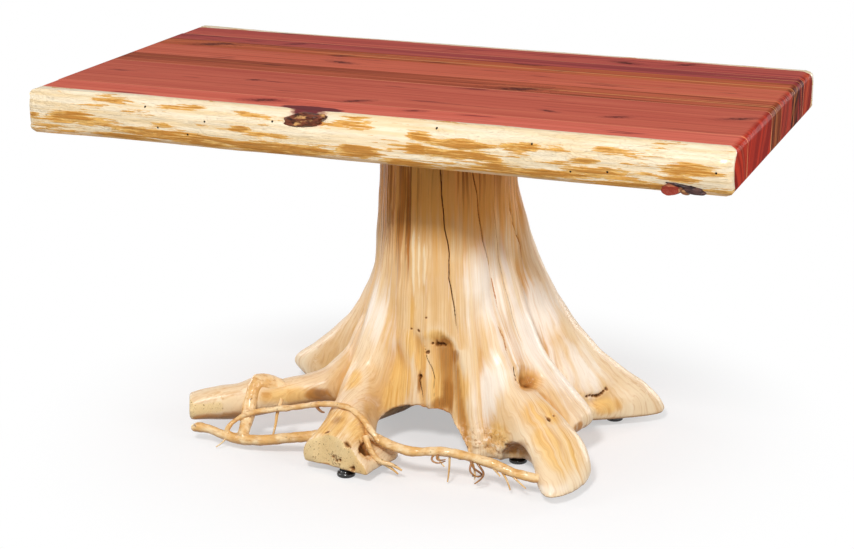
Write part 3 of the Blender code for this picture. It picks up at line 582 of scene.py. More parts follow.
# %% Shape of a live edge
TUCK = 0.0165
BULGE_POWER = 2.6
CORNER_ROUND = 0.007
UNDERCUT = 0.4
KNOT_X = -0.071
KNOT_Z = 0.4670
EDGE_CUTS = (330, 24, 28)
BARK_PATCHES = [
    (-0.450, 0.4466, 0.010, 0.0045, 0.36), (-0.373, 0.4467, 0.056, 0.0085, 0.42),
    (-0.335, 0.4735, 0.036, 0.0045, 0.22), (-0.268, 0.4484, 0.023, 0.0040, 0.32),
    (-0.235, 0.4715, 0.040, 0.0035, 0.20), (-0.155, 0.4705, 0.040, 0.0040, 0.22),
    (-0.010, 0.4690, 0.035, 0.0055, 0.30), (-0.290, 0.4400, 0.050, 0.0060, 0.20),
    (-0.326, 0.4275, 0.040, 0.0048, 0.26), (-0.216, 0.4324, 0.052, 0.0077, 0.20),
    (-0.180, 0.4365, 0.025, 0.0040, 0.30), (-0.160, 0.4530, 0.014, 0.0040, 0.34),
    (-0.112, 0.4470, 0.033, 0.0055, 0.30), (-0.110, 0.4335, 0.065, 0.0065, 0.32),
    (-0.045, 0.4655, 0.022, 0.0045, 0.32), (0.005, 0.4735, 0.045, 0.0040, 0.24),
    (-0.001, 0.4385, 0.026, 0.0080, 0.38), (0.060, 0.4290, 0.034, 0.0042, 0.30),
    (0.045, 0.4735, 0.030, 0.0045, 0.28), (0.078, 0.4640, 0.018, 0.0065, 0.36),
    (0.128, 0.4590, 0.038, 0.0060, 0.36), (0.073, 0.4500, 0.008, 0.0045, 0.36),
    (0.135, 0.4460, 0.045, 0.0060, 0.34), (0.207, 0.4615, 0.026, 0.0070, 0.42),
    (0.248, 0.4640, 0.015, 0.0045, 0.30), (0.207, 0.4520, 0.016, 0.0035, 0.30),
    (0.285, 0.4530, 0.022, 0.0045, 0.34), (0.318, 0.4655, 0.032, 0.0060, 0.28),
    (0.345, 0.4565, 0.030, 0.0065, 0.34), (0.315, 0.4430, 0.050, 0.0075, 0.24),
    (0.405, 0.4542, 0.038, 0.0070, 0.36), (0.343, 0.4437, 0.023, 0.0047, 0.32),
    (0.339, 0.4286, 0.036, 0.0065, 0.28), (0.399, 0.4408, 0.024, 0.0035, 0.32),
    (0.442, 0.4302, 0.018, 0.0029, 0.28), (0.215, 0.4330, 0.060, 0.0060, 0.18),
]


def bark_left(points):
    """How much inner bark each point of the front edge has kept."""
    kept = np.zeros(len(points))
    for patch_x, patch_z, wide, tall, strength in BARK_PATCHES:
        off = ((points[:, 0] - patch_x) / wide) ** 2 + ((points[:, 2] - patch_z) / tall) ** 2
        kept = np.maximum(kept, soft_step(off, 1.7, 0.0) * strength)
    return kept


def grid_cube(name, low, high, cells):
    """A cube whose faces are cut into a grid, with a number of cuts along x, y and z."""
    piece = start_cube(name, low, high)
    for axis, cuts in enumerate(cells):
        edit_edges(piece, lambda first, second: abs(first[axis] - second[axis]) > 1e-6)
        bpy.ops.mesh.subdivide(number_cuts=cuts)
        bpy.ops.object.mode_set(mode="OBJECT")
    return piece


def round_over(points, axis_a, axis_b, low, high, radius, sides):
    """Moves the points near an edge of the box onto a round of the given radius."""
    inner = points.copy()
    inner[:, axis_a] = np.clip(points[:, axis_a], low[axis_a] + radius, high[axis_a] - radius)
    limits = [low[axis_b] + radius, high[axis_b] - radius]
    if sides < 0:
        limits[1] = high[axis_b] + 1.0
    elif sides > 0:
        limits[0] = low[axis_b] - 1.0
    inner[:, axis_b] = np.clip(points[:, axis_b], *limits)
    offset = points - inner
    offset[:, [axis for axis in range(3) if axis not in (axis_a, axis_b)]] = 0.0
    length = np.linalg.norm(offset, axis=1)
    corner = (np.abs(offset[:, axis_a]) > 1e-7) & (np.abs(offset[:, axis_b]) > 1e-7)
    points[corner] = inner[corner] + offset[corner] / length[corner, None] * radius
    return points


def live_edge_board(name, node, outward):
    """A board with one natural edge; outward is -1 for the front board and 1 for the back one."""
    low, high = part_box(node)
    rim = low[1] if outward < 0 else high[1]
    joint = high[1] if outward < 0 else low[1]
    piece = grid_cube(name, low, high, EDGE_CUTS)
    points = read_points(piece)
    points = round_over(points, 0, 1, low, high, CORNER_ROUND, outward)
    points = round_over(points, 0, 2, low, high, END_ROUND, 0)
    share = (points[:, 2] - low[2]) / (high[2] - low[2])
    square_end = 1 - 0.5 * soft_step(points[:, 0], -0.30, -0.43)
    bulge = TUCK * np.abs(2 * share - 1) ** BULGE_POWER * square_end
    bulge = np.where(share < 0.5, bulge * UNDERCUT, bulge)
    wave = 0.0009 * (1 + 0.6 * np.sin(points[:, 0] * 17.0 + 0.8) + 0.4 * np.sin(points[:, 0] * 47.0))
    skin = lumps(points, (9.0, 14.0, 24.0), 2 + outward) * 0.0014
    flakes = lumps(points, (34.0, 60.0, 130.0), 4 + outward)
    skin = skin + np.round(flakes * 2.5) * 0.00042 * soft_step(share, 0.95, 0.55)
    inset = np.clip(bulge + wave + 0.0012 + skin, 0.0, None)
    if outward < 0:
        eye = ((points[:, 0] - KNOT_X) / 0.027) ** 2 + ((points[:, 2] - KNOT_Z) / 0.0065) ** 2
        inset = inset + 0.005 * soft_step(eye, 1.4, 0.2)
    reach = (points[:, 1] - joint) / (rim - joint)
    points[:, 1] = joint + reach * (rim - outward * inset - joint)
    write_points(piece, points)
    leave_mark(piece, "bark", bark_left(points))
    bpy.ops.object.shade_smooth_by_angle(angle=math.radians(40))
    return piece


front_edge = live_edge_board("front_board_with_live_edge", "front_live_edge_board", -1)
back_edge = live_edge_board("back_board_with_live_edge", "back_live_edge_board", 1)
print("live edges", len(front_edge.data.vertices), len(back_edge.data.vertices), "points")

# %% [markdown]
# The finish of such a board starts as heartwood and turns to sapwood within about 7 mm of the log's
# outside. Thin layers of inner bark are left on it like a map with contour lines: a smooth noise is
# cut into levels, each level gets its own tone, and the edges between levels are drawn and raised.

# %% Finish of a live edge
SLAB_MIDDLE = 0.452
SLAB_HALF = 0.028
LOG_SIDE = 0.2465
SAP_DEPTH = 0.0073
BARK_LEVELS = 9.0
PINHOLES = [
    (-0.2898, 0.4692), (-0.2714, 0.4447), (-0.2297, 0.4393), (-0.2055, 0.4579), (-0.1142, 0.4654),
    (0.0978, 0.4735), (0.2181, 0.4662), (0.266, 0.4379), (0.4369, 0.4517), (0.31, 0.4412),
]


def live_edge_finish(name, look, outward):
    """Heartwood that turns to sapwood with scraps of inner bark towards the log's outside."""
    finish, shader, point = new_finish(name, 0.36, 0.3, 0.18, SATIN_SPECULAR)
    x, y, z = axes_of(point)
    colour, height, fibre = heartwood(point, look)
    lift = abs(z - SLAB_MIDDLE) / SLAB_HALF
    depth = LOG_SIDE - lift ** BULGE_POWER * TUCK + y * (-outward)
    border = SAP_DEPTH + (cloud(point, (5.0, 2.0, 2.0), 2.0) - 0.5) * 0.010
    border = border + (cloud(point, (60.0, 30.0, 30.0), 2.0) - 0.5) * 0.0016
    if outward > 0:
        border = border + 0.002 + fade(abs(x), 0.440, 0.457) * 0.006
    sap = fade(depth - border, 0.0009, -0.0009)
    fine = cloud(point, (24.0, 600.0, 420.0), 3.0)
    streaks = cloud(point, (7.0, 120.0, 150.0), 3.0)
    cream = tint(fade(streaks, 0.36, 0.7), (249, 233, 204), (240, 213, 168))
    cream = tint(fade(fine, 0.52, 0.75) * 0.3, cream, (210, 166, 104))
    low_side = fade(z, 0.462, 0.428)
    patches = low_side * 0.17 - 0.08
    if outward < 0:
        patches = patches + attribute(point, "bark")
    else:
        patches = patches + (cloud(point, (6.0, 5.0, 40.0), 2.0) - 0.5) * 0.45
    map_noise = cloud(point, (13.0, 30.0, 75.0), 4.0, 0.6)
    torn = cloud(point, (22.0, 90.0, 460.0), 4.0, 0.65)
    level = (map_noise - 0.5) * 1.25 + (torn - 0.5) * 1.15 + patches * 1.05 + 0.5
    golden = fade(level, 0.60, 0.65)
    amber = fade(level, 0.74, 0.84)
    contour = level.math("FRACT", level * BARK_LEVELS)
    on_edge = fade(contour, 0.13, 0.0) * fade(level, 0.46, 0.54)
    bark = tint(fade(torn, 0.4, 0.62), (236, 184, 96), (216, 150, 54))
    wash = fade(level, 0.47, 0.62)
    # Painted highlight: a near-white line along the border of the bark scraps.
    painted_border_highlight = fade(abs(level - 0.575), 0.03, 0.0)
    colour_sap = tint(wash * 0.3, cream, (240, 200, 128))
    colour_sap = tint(golden * 0.88, colour_sap, bark)
    colour_sap = tint(amber * 0.7, colour_sap, (184, 116, 36))
    colour_sap = tint(on_edge * 0.3, colour_sap, (160, 106, 46))
    colour_sap = tint(painted_border_highlight * 0.5, colour_sap, (254, 243, 220))
    colour_sap = tint(fade(z, 0.4310, 0.4250) * 0.6, colour_sap, (178, 118, 46))
    cracks = cloud(point, (21.0, 60.0, 60.0), 2.0, 0.5)
    crack = fade(abs(cracks - 0.5), 0.006, 0.0) * fade(cloud(point, (8.0, 8.0, 18.0), 1.0), 0.54, 0.62)
    colour_sap = tint(crack * low_side * 0.4, colour_sap, (140, 96, 52))
    hole = fine * 0.0
    if outward < 0:
        for hole_x, hole_z in PINHOLES:
            off_x = x - hole_x
            off_z = z - hole_z
            hole = hole + fade(off_x * off_x + off_z * off_z, 0.0000022, 0.0000010)
        hole = hole * fade(depth, 0.006, 0.003)
        off_x = (x - KNOT_X) / 0.043
        off_d = (depth - 0.0120) / 0.0110
        stain = off_x * off_x + off_d * off_d + (cloud(point, (60.0, 90.0, 90.0), 3.0) - 0.5) * 0.9
        stain = fade(stain, 1.15, 0.8) * fade(z, 0.4700, 0.4745)
        sap = sap * (1 - stain)
        colour = tint(stain, colour, (116, 56, 58))
    colour_sap = tint(hole, colour_sap, (34, 22, 14))
    feed(shader, "Base Color", tint(sap, colour, colour_sap))
    feed(shader, "Coat Weight", 0.04 + sap * 0.26)
    feed(shader, "Roughness", 0.3 + golden * sap * 0.16 + fibre * 0.08)
    steps = level.math("FLOOR", level * BARK_LEVELS) / BARK_LEVELS
    sap_height = steps * 2.4 + torn * 0.8 + fine * 0.25 - hole * 2.0 - crack * 0.6
    skin = fade(depth - border, 0.001, -0.007)
    feed(shader, "Normal", relief(height * (1 - skin) * 0.25 + sap_height * skin, 0.0007))
    return finish


front_finish = live_edge_finish("front_live_edge_finish", LOOKS["front_live_edge_board"], -1)
back_finish = live_edge_finish("back_live_edge_finish", LOOKS["back_live_edge_board"], 1)
hand_over(front_edge, "table", "front_live_edge_board", front_finish, "front_live_edge_board")
hand_over(back_edge, "table", "back_live_edge_board", back_finish, "back_live_edge_board")

# %% [markdown]
# ## The bark knot and the branch stub
# A dead branch left an eye of rough bark high on the front edge, and a live branch was sawn off at the
# lower right. Both stand out from the slab, so they are pieces of their own: icospheres pulled into
# ridges for the bark, and a short cylinder with a ragged rim for the stub.


# %% Rough bark
def bark_finish(name, dark, ridge_colour, plate_colour):
    """Dark, ridged bark whose plates have lighter edges."""
    finish, shader, point = new_finish(name, 0.55, 0.15, 0.2, 0.1)
    ridges = cloud(point, (90.0, 160.0, 260.0), 4.0, 0.6)
    plates = cloud(point, (45.0, 60.0, 120.0), 3.0)
    colour = tint(fade(ridges, 0.35, 0.62), dark, ridge_colour)
    colour = tint(fade(plates, 0.56, 0.66), colour, plate_colour)
    feed(shader, "Base Color", colour)
    feed(shader, "Normal", relief(ridges, 0.002))
    return finish


KNOT_BARK = bark_finish("knot_bark_finish", (54, 26, 20), (124, 66, 44), (206, 154, 96))
BLACK_BARK = bark_finish("black_bark_finish", (38, 26, 28), (88, 62, 58), (150, 104, 84))
SPLINTER = bark_finish("splinter_finish", (150, 92, 60), (196, 142, 96), (222, 176, 128))


def bark_lump(name, middle, size, tilt, seed, finish):
    """An icosphere stretched along the edge, tilted by some degrees and pulled into ridges."""
    bpy.ops.object.select_all(action="DESELECT")
    bpy.ops.mesh.primitive_ico_sphere_add(subdivisions=5, radius=1.0, location=middle)
    piece = bpy.context.active_object
    piece.name = name
    piece.scale = size
    piece.rotation_euler = (0.0, math.radians(tilt), 0.0)
    bpy.ops.object.transform_apply(location=True, rotation=True, scale=True)
    points = read_points(piece)
    outward = points - np.array(middle)
    ridge = 1 - np.abs(lumps(points, (60.0, 90.0, 170.0), seed)) * 1.6
    knobs = lumps(points, (130.0, 190.0, 240.0), seed + 3)
    points = points + outward * (ridge * 0.28 + knobs * 0.16)[:, None]
    write_points(piece, points)
    bpy.ops.object.shade_smooth_by_angle(angle=math.radians(60))
    hand_over(piece, "table", "front_live_edge_board", finish)


bark_lump("bark_knot", (KNOT_X - 0.004, -0.2380, 0.4698), (0.0225, 0.0066, 0.0074), -9, 7, KNOT_BARK)
bark_lump("bark_knot_lip", (KNOT_X + 0.014, -0.2365, 0.4738), (0.0130, 0.0052, 0.0036), -14, 11, KNOT_BARK)
bark_lump("bark_over_the_stub", (0.3925, -0.2370, 0.4338), (0.0155, 0.0052, 0.0026), 8, 13, BLACK_BARK)
bark_lump("bark_by_the_stub", (0.4110, -0.2360, 0.4285), (0.0125, 0.0066, 0.0048), 10, 15, BLACK_BARK)
bark_lump("splinter_by_the_stub", (0.4000, -0.2335, 0.4256), (0.0062, 0.0058, 0.0038), 20, 17, SPLINTER)

# %% Sawn branch stub
STUB_MIDDLE = (0.3850, -0.2335, 0.4262)
STUB_SIZE = (0.0240, 0.0140, 0.0210)


def stub_finish():
    """Dark red sawn wood with a pale upper edge, seen end on."""
    finish, shader, point = new_finish("branch_stub_finish", 0.55, 0.03, 0.25, 0.05)
    x, _, z = axes_of(point)
    off_x = (x - STUB_MIDDLE[0]) / STUB_SIZE[0] * 2.0
    off_z = (z - STUB_MIDDLE[2]) / STUB_SIZE[1] * 2.0
    ragged = cloud(point, (160.0, 160.0, 160.0)) - 0.5
    radius = (off_x * off_x + off_z * off_z) ** 0.5 + ragged * 0.3
    rings = cloud(vector_of(radius * 11.0, 0.0, 0.0), (1.0, 1.0, 1.0), 2.0)
    colour = tint(fade(rings, 0.35, 0.65), (150, 62, 46), (122, 46, 36))
    colour = tint(fade(off_z + ragged * 0.5, 0.66, 0.9), colour, (200, 124, 88))
    colour = tint(fade(off_x + ragged * 0.6, 0.70, 0.95), colour, (196, 140, 98))
    colour = tint(fade(radius, 0.86, 0.98) * 0.7, colour, (78, 36, 28))
    feed(shader, "Base Color", colour)
    feed(shader, "Normal", relief(cloud(point, (160.0, 500.0, 500.0)), 0.0008))
    return finish


bpy.ops.object.select_all(action="DESELECT")
bpy.ops.mesh.primitive_cylinder_add(
    vertices=36, radius=0.5, depth=1.0, end_fill_type="TRIFAN", location=STUB_MIDDLE
)
stub = bpy.context.active_object
stub.name = "branch_stub"
stub.rotation_euler = (math.radians(76), math.radians(-12), math.radians(10))
stub.scale = STUB_SIZE
bpy.ops.object.transform_apply(location=True, rotation=True, scale=True)
bpy.ops.object.mode_set(mode="EDIT")
bpy.ops.mesh.select_all(action="SELECT")
bpy.ops.mesh.subdivide(number_cuts=4)
bpy.ops.object.mode_set(mode="OBJECT")
stub_points = read_points(stub)
stub_out = stub_points - np.array(STUB_MIDDLE)
ragged_rim = lumps(stub_points, (150.0, 150.0, 150.0), 5) * 0.16
stub_points = stub_points + stub_out * ragged_rim[:, None]
saw_marks = lumps(stub_points, (260.0, 260.0, 700.0), 6) * 0.0005
stub_points[:, 1] = stub_points[:, 1] + saw_marks
write_points(stub, stub_points)
bpy.ops.object.shade_smooth_by_angle(angle=math.radians(40))
hand_over(stub, "table", "front_live_edge_board", stub_finish())

# %% [markdown]
# ## The stump
# The stump is one continuous natural form, so it isn't built from parts. A copy of the CAD solid is
# merged, remeshed into small even quads and smoothed, which wipes out the facets. Then its points are
# moved: folds and dents sink in, shallow flutes run down the trunk, long cracks are cut, and knots
# leave pits.

# %% Fine copy of the stump
TRUNK = np.array([0.022, 0.008])
STUMP_VOXEL = 0.0035
STUMP_SMOOTHING = 6
SAW_CUT = 0.418
stump = bpy.data.objects.new("peeled_stump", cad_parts["stump"].data.copy())
bpy.context.collection.objects.link(stump)
select_only(stump)
bpy.ops.object.mode_set(mode="EDIT")
bpy.ops.mesh.select_all(action="SELECT")
bpy.ops.mesh.remove_doubles(threshold=0.00001)
bpy.ops.object.mode_set(mode="OBJECT")
even_out(stump, STUMP_VOXEL, STUMP_SMOOTHING)
print("stump", len(stump.data.vertices), "points")

# %% [markdown]
# Cracks are a millimetre or two wide, narrower than the quads, so the quads near every line are
# subdivided first, and those at the cracks and the pits once more. A line has a kind, a half width, a
# depth, and heights with bearings around the trunk. It closes towards its foot, and at its head too
# unless that reaches the saw cut. An orange line is a shallow groove, and a cream line is a ridge that
# was scraped bare. Pits are rotten knots, each with a place, a radius and a depth.

# %% Cracks and pits
LINES = [
    ("crack", 0.0006, 0.005,
     [(0.4184, 283.0), (0.375, 284.1), (0.334, 285.9), (0.304, 287.7), (0.285, 290.0), (0.269, 291.7),
      (0.236, 291.1), (0.223, 293.2), (0.201, 294.9), (0.180, 296.5), (0.161, 297.6), (0.150, 298.4)]),
    ("crack", 0.0006, 0.005,
     [(0.4184, 308.5), (0.369, 312.7), (0.334, 316.4), (0.307, 318.1), (0.280, 321.3), (0.260, 323.7),
      (0.247, 325.4), (0.236, 326.0), (0.219, 326.7)]),
    ("crack", 0.0005, 0.004,
     [(0.335, 330.0), (0.305, 332.0), (0.267, 335.1), (0.242, 336.2), (0.227, 336.3),
      (0.196, 336.6), (0.173, 336.7), (0.158, 336.4), (0.143, 336.6), (0.128, 336.2)]),
    ("crack", 0.0004, 0.002,
     [(0.160, 271.0), (0.127, 275.3), (0.115, 278.8), (0.101, 280.7), (0.060, 281.3)]),
    ("crack", 0.0006, 0.004,
     [(0.4184, 236.0), (0.36, 233.0), (0.30, 234.5), (0.22, 230.0)]),
    ("crack", 0.0012, 0.008,
     [(0.4184, 70.0), (0.33, 73.0), (0.26, 71.0), (0.16, 76.0)]),
    ("crack", 0.0010, 0.006,
     [(0.4184, 140.0), (0.36, 138.0), (0.28, 143.0)]),
    ("crack", 0.0010, 0.003,
     [(0.1310, 324.4), (0.1255, 322.6), (0.1205, 321.8), (0.1160, 323.0)]),
    ("crack", 0.0005, 0.002,
     [(0.112, 268.8), (0.095, 269.6), (0.080, 271.4), (0.064, 273.0)]),
    ("orange", 0.0016, 0.002,
     [(0.410, 255.0), (0.329, 256.0), (0.283, 257.1), (0.254, 257.8), (0.215, 258.6)]),
    ("orange", 0.0014, 0.002,
     [(0.349, 349.1), (0.312, 352.6), (0.295, 356.5), (0.272, 364.2), (0.262, 365.7), (0.225, 364.7)]),
    ("orange", 0.0010, 0.0006, [(0.245, 325.6), (0.205, 327.2), (0.185, 326.4)]),
    ("orange", 0.0010, 0.0006, [(0.185, 322.0), (0.158, 323.4), (0.135, 323.0)]),
    ("cream", 0.0022, -0.0012, [(0.325, 261.2), (0.26, 262.0), (0.19, 264.2)]),
    ("cream", 0.0016, -0.0008, [(0.315, 265.6), (0.25, 266.8), (0.20, 268.6)]),
    ("cream", 0.0018, -0.0008, [(0.300, 271.0), (0.25, 272.0), (0.21, 272.4)]),
]
PITS = [
    ((0.1660, -0.0700, 0.1030), 0.0052, 0.0030), ((0.1565, -0.0962, 0.1188), 0.0026, 0.0025),
    ((0.0375, -0.0943, 0.1468), 0.0032, 0.0035), ((0.0491, -0.0932, 0.1441), 0.0036, 0.0040),
    ((0.0438, -0.0940, 0.1450), 0.0042, 0.0050), ((0.0556, -0.0920, 0.1431), 0.0030, 0.0035),
    ((0.0530, -0.0924, 0.1443), 0.0028, 0.0035), ((0.0319, -0.0958, 0.1358), 0.0032, 0.0025),
    ((0.0215, -0.0996, 0.1009), 0.0032, 0.0060), ((0.0290, -0.0917, 0.1825), 0.0014, 0.0012),
    ((0.0086, -0.0933, 0.1653), 0.0016, 0.0012), ((0.0185, -0.0936, 0.1639), 0.0014, 0.0012),
    ((0.2119, -0.1332, 0.0839), 0.0040, 0.0040), ((0.2160, -0.1240, 0.0850), 0.0022, 0.0020),
    ((-0.0271, -0.2262, 0.0496), 0.0062, 0.0060), ((-0.0074, -0.2110, 0.0385), 0.0115, 0.0070),
    ((-0.0440, -0.2268, 0.0225), 0.0030, 0.0035), ((-0.0500, -0.2255, 0.0260), 0.0026, 0.0030),
    ((-0.0380, -0.2280, 0.0250), 0.0024, 0.0030), ((-0.0180, -0.2310, 0.0170), 0.0038, 0.0060),
    ((-0.0620, -0.2150, 0.0553), 0.0030, 0.0020), ((-0.0760, -0.1900, 0.0592), 0.0040, 0.0020),
    ((0.2103, 0.0438, 0.0487), 0.0030, 0.0030), ((0.2138, 0.0460, 0.0499), 0.0026, 0.0030),
    ((0.2175, 0.0481, 0.0486), 0.0030, 0.0040), ((0.2223, 0.0510, 0.0480), 0.0032, 0.0040),
    ((0.2257, 0.0534, 0.0503), 0.0034, 0.0034), ((0.2276, 0.0552, 0.0524), 0.0032, 0.0030),
    ((0.2297, 0.0575, 0.0549), 0.0030, 0.0026), ((0.2321, 0.0598, 0.0576), 0.0028, 0.0020),
]


def around_trunk(points):
    """The bearing in degrees and the reach of each point from the trunk's axis."""
    off = points[:, :2] - TRUNK
    bearing = np.degrees(np.arctan2(off[:, 1], off[:, 0])) % 360
    return bearing, np.linalg.norm(off, axis=1)


def follow(points, line):
    """Heights and bearings of a line from its foot up, and its bearing at the height of each point."""
    heights = np.array([height for height, _ in line])[::-1]
    bearings = np.array([turn for _, turn in line])[::-1]
    return heights, bearings, np.interp(points[:, 2], heights, bearings)


def line_distance(points, line):
    """How far each point lies from a line, sideways, and how open a crack there is at that height."""
    bearing, reach = around_trunk(points)
    heights, bearings, centre = follow(points, line)
    centre = centre + 0.18 * np.sin(points[:, 2] * 150.0 + bearings[0])
    sideways = np.radians((bearing - centre + 180) % 360 - 180) * reach
    taper = min(0.05, (heights[-1] - heights[0]) * 0.35)
    inside = soft_step(points[:, 2], heights[0] - 0.004, heights[0] + taper)
    if heights[-1] < SAW_CUT:
        inside = inside * soft_step(points[:, 2], heights[-1], heights[-1] - taper)
    return np.abs(sideways), inside


def refine(piece, band, kinds):
    """Subdivides the faces that lie within a band around the pits and the lines of some kinds."""
    points = read_points(piece)
    marked = np.zeros(len(points), bool)
    for line in [line for kind, _, _, line in LINES if kind in kinds]:
        sideways, inside = line_distance(points, line)
        marked |= (sideways < band) & (inside > 0)
    for place, radius, _ in PITS:
        marked |= np.linalg.norm(points - np.array(place), axis=1) < radius + band * 0.5
    edit_only(piece, "FACE", lambda corners: any(marked[corner] for corner in corners))
    bpy.ops.mesh.subdivide(number_cuts=1)
    bpy.ops.object.mode_set(mode="OBJECT")


LINE_BAND = 0.0030
CRACK_BAND = 0.0016
refine(stump, LINE_BAND, ("crack", "orange", "cream"))
refine(stump, CRACK_BAND, ("crack",))
stump_triangles = sum(len(face.vertices) - 2 for face in stump.data.polygons)
print("refined stump", len(stump.data.vertices), "points,", stump_triangles, "triangles")

# %% [markdown]
# The wood is not one colour: it is golden in its hollows, brown at knots and in forks, where some of
# the brown is painted shade in recesses and crotches, and nearly white where a highlight of the
# lacquer is painted. Each such stain or painted patch is a place on the surface with a spread
# sideways and a spread up and down. The brown streaks of the upper trunk have a share and a lowest
# height that change around it. The sawn root ends are given by bearing and distance from the trunk's
# axis, and a dent by its place, its two spreads and its depth.

# %% Stains
# Stains of the wood; the brown ones are partly painted shade and the pale ones painted highlights.
STAINS_AND_PAINTED_LIGHT = {
    "ochre": [
        ((0.043, -0.093, 0.160), 0.022, 0.012), ((0.023, -0.097, 0.125), 0.012, 0.030),
        ((-0.004, -0.101, 0.088), 0.022, 0.040), ((-0.017, -0.108, 0.070), 0.018, 0.030),
        ((0.052, -0.098, 0.090), 0.030, 0.040), ((-0.058, -0.137, 0.100), 0.020, 0.024),
        ((-0.066, -0.200, 0.059), 0.048, 0.030), ((0.237, -0.165, 0.055), 0.046, 0.056),
        ((0.163, -0.070, 0.108), 0.024, 0.018), ((0.200, -0.130, 0.085), 0.034, 0.028),
        ((0.010, -0.094, 0.190), 0.008, 0.040), ((0.150, -0.128, 0.050), 0.034, 0.022),
        ((0.008, -0.095, 0.144), 0.009, 0.030), ((0.215, -0.160, 0.068), 0.030, 0.025),
        ((0.086, -0.104, 0.085), 0.014, 0.050), ((0.236, 0.058, 0.034), 0.030, 0.018),
        ((-0.080, -0.100, 0.122), 0.026, 0.055), ((-0.020, -0.195, 0.060), 0.036, 0.024),
        ((-0.165, -0.115, 0.060), 0.060, 0.016), ((-0.250, -0.130, 0.058), 0.050, 0.020),
    ],
    # Partly brown wood, partly painted shade in the recesses, the crotches and the knot dimple.
    "brown": [
        ((0.066, -0.102, 0.082), 0.018, 0.034), ((0.0724, -0.096, 0.134), 0.007, 0.016),
        ((-0.124, -0.103, 0.060), 0.026, 0.012), ((0.021, -0.100, 0.092), 0.004, 0.030),
        ((0.050, -0.098, 0.066), 0.020, 0.016),
        ((-0.004, -0.206, 0.040), 0.022, 0.016),
        ((0.1632, -0.0680, 0.1075), 0.018, 0.014), ((-0.052, -0.196, 0.062), 0.014, 0.012),
        ((0.190, -0.150, 0.045), 0.020, 0.020), ((0.233, -0.066, 0.050), 0.014, 0.010),
    ],
    # Painted highlights: near-white places where the lacquer would shine.
    "pale": [
        ((0.108, -0.052, 0.215), 0.056, 0.100), ((0.152, -0.026, 0.150), 0.080, 0.075),
        ((0.124, -0.104, 0.105), 0.032, 0.085), ((0.200, 0.000, 0.105), 0.085, 0.065),
        ((0.200, 0.042, 0.090), 0.070, 0.060), ((0.148, 0.010, 0.165), 0.060, 0.080),
        ((-0.048, -0.085, 0.195), 0.030, 0.075),
        ((0.240, -0.205, 0.020), 0.030, 0.012),
    ],
    "pores": [((-0.0465, -0.2262, 0.0240), 0.015, 0.010)],
}
STREAK_BEARINGS = [0, 100, 190, 215, 258, 268, 290, 300, 309, 316, 330, 345, 352, 360]
STREAK_SHARES = [0.5, 0.5, 0.8, 1.0, 1.0, 0.35, 0.35, 0.9, 0.95, 0.75, 0.95, 0.95, 0.6, 0.5]
STREAK_LOWEST = [0.24, 0.24, 0.22, 0.20, 0.21, 0.28, 0.29, 0.28, 0.28, 0.29, 0.30, 0.29, 0.26, 0.24]
SAW_FACES = [(258.7, 0.243), (207.0, 0.350)]
FRAYED = ((0.138, -0.128, 0.036), 0.056, 0.024)
FOLDS = [
    {"line": [(0.163, 291.0), (0.120, 296.0), (0.080, 298.0), (0.030, 300.0)],
     "left": 0.046, "right": 0.010, "depth": 0.017, "lip": 0.020},
    {"line": [(0.175, 265.5), (0.125, 270.0), (0.090, 271.9), (0.030, 274.0)],
     "left": 0.012, "right": 0.010, "depth": 0.006, "lip": 0.04},
    {"line": [(0.150, 251.0), (0.108, 250.7), (0.084, 249.9), (0.030, 249.0)],
     "left": 0.010, "right": 0.036, "depth": 0.008, "lip": 0.04},
]
DENTS = [
    ((0.1632, -0.0680, 0.1085), 0.021, 0.016, 0.011), ((-0.190, -0.105, 0.078), 0.016, 0.010, 0.004),
    ((0.1660, -0.0920, 0.1120), 0.020, 0.015, 0.011),
    ((0.0880, -0.0700, 0.285), 0.012, 0.010, 0.0015), ((0.2210, 0.0490, 0.043), 0.020, 0.012, 0.005),
]


def stain_at(points, place, spread, rise):
    """1 in the middle of a stain, falling to 0 at its border."""
    off = (points - np.array(place)) / np.array((spread, spread, rise))
    return soft_step(np.linalg.norm(off, axis=1), 1.25, 0.1)


def fold_depth(points, fold):
    """How deep each point sinks into a fold, which may be steep on one side and gentle on the other."""
    bearing, reach = around_trunk(points)
    heights, _, centre = follow(points, fold["line"])
    sideways = np.radians(bearing - centre) * reach
    left_share = soft_step(sideways, -fold["left"], 0.0)
    right_share = soft_step(sideways, fold["right"], 0.0)
    crown = heights[-1] - (sideways + fold["left"] * 0.4) ** 2 / (fold["left"] + fold["right"])
    crown = crown + lumps(points, (60.0, 60.0, 60.0), 26) * 0.005
    ends = soft_step(points[:, 2], crown + 0.004, crown - fold["lip"])
    return np.where(sideways < 0, left_share, right_share) * ends * fold["depth"]


print(sum(len(group) for group in STAINS_AND_PAINTED_LIGHT.values()), "stains listed")


# %% Sculpt the stump
def neighbour_mean(piece, values, rounds):
    """Values averaged with their neighbours along the edges, several times over."""
    ends = np.empty(len(piece.data.edges) * 2, np.int32)
    piece.data.edges.foreach_get("vertices", ends)
    first, second = ends[0::2], ends[1::2]
    size = len(values)
    count = np.maximum(np.bincount(ends, minlength=size), 1).astype(float)
    for _ in range(rounds):
        columns = []
        for column in values.T:
            beside = np.bincount(first, column[second], size) + np.bincount(second, column[first], size)
            columns.append(0.4 * column + 0.6 * beside / count)
        values = np.stack(columns, axis=1)
    return values


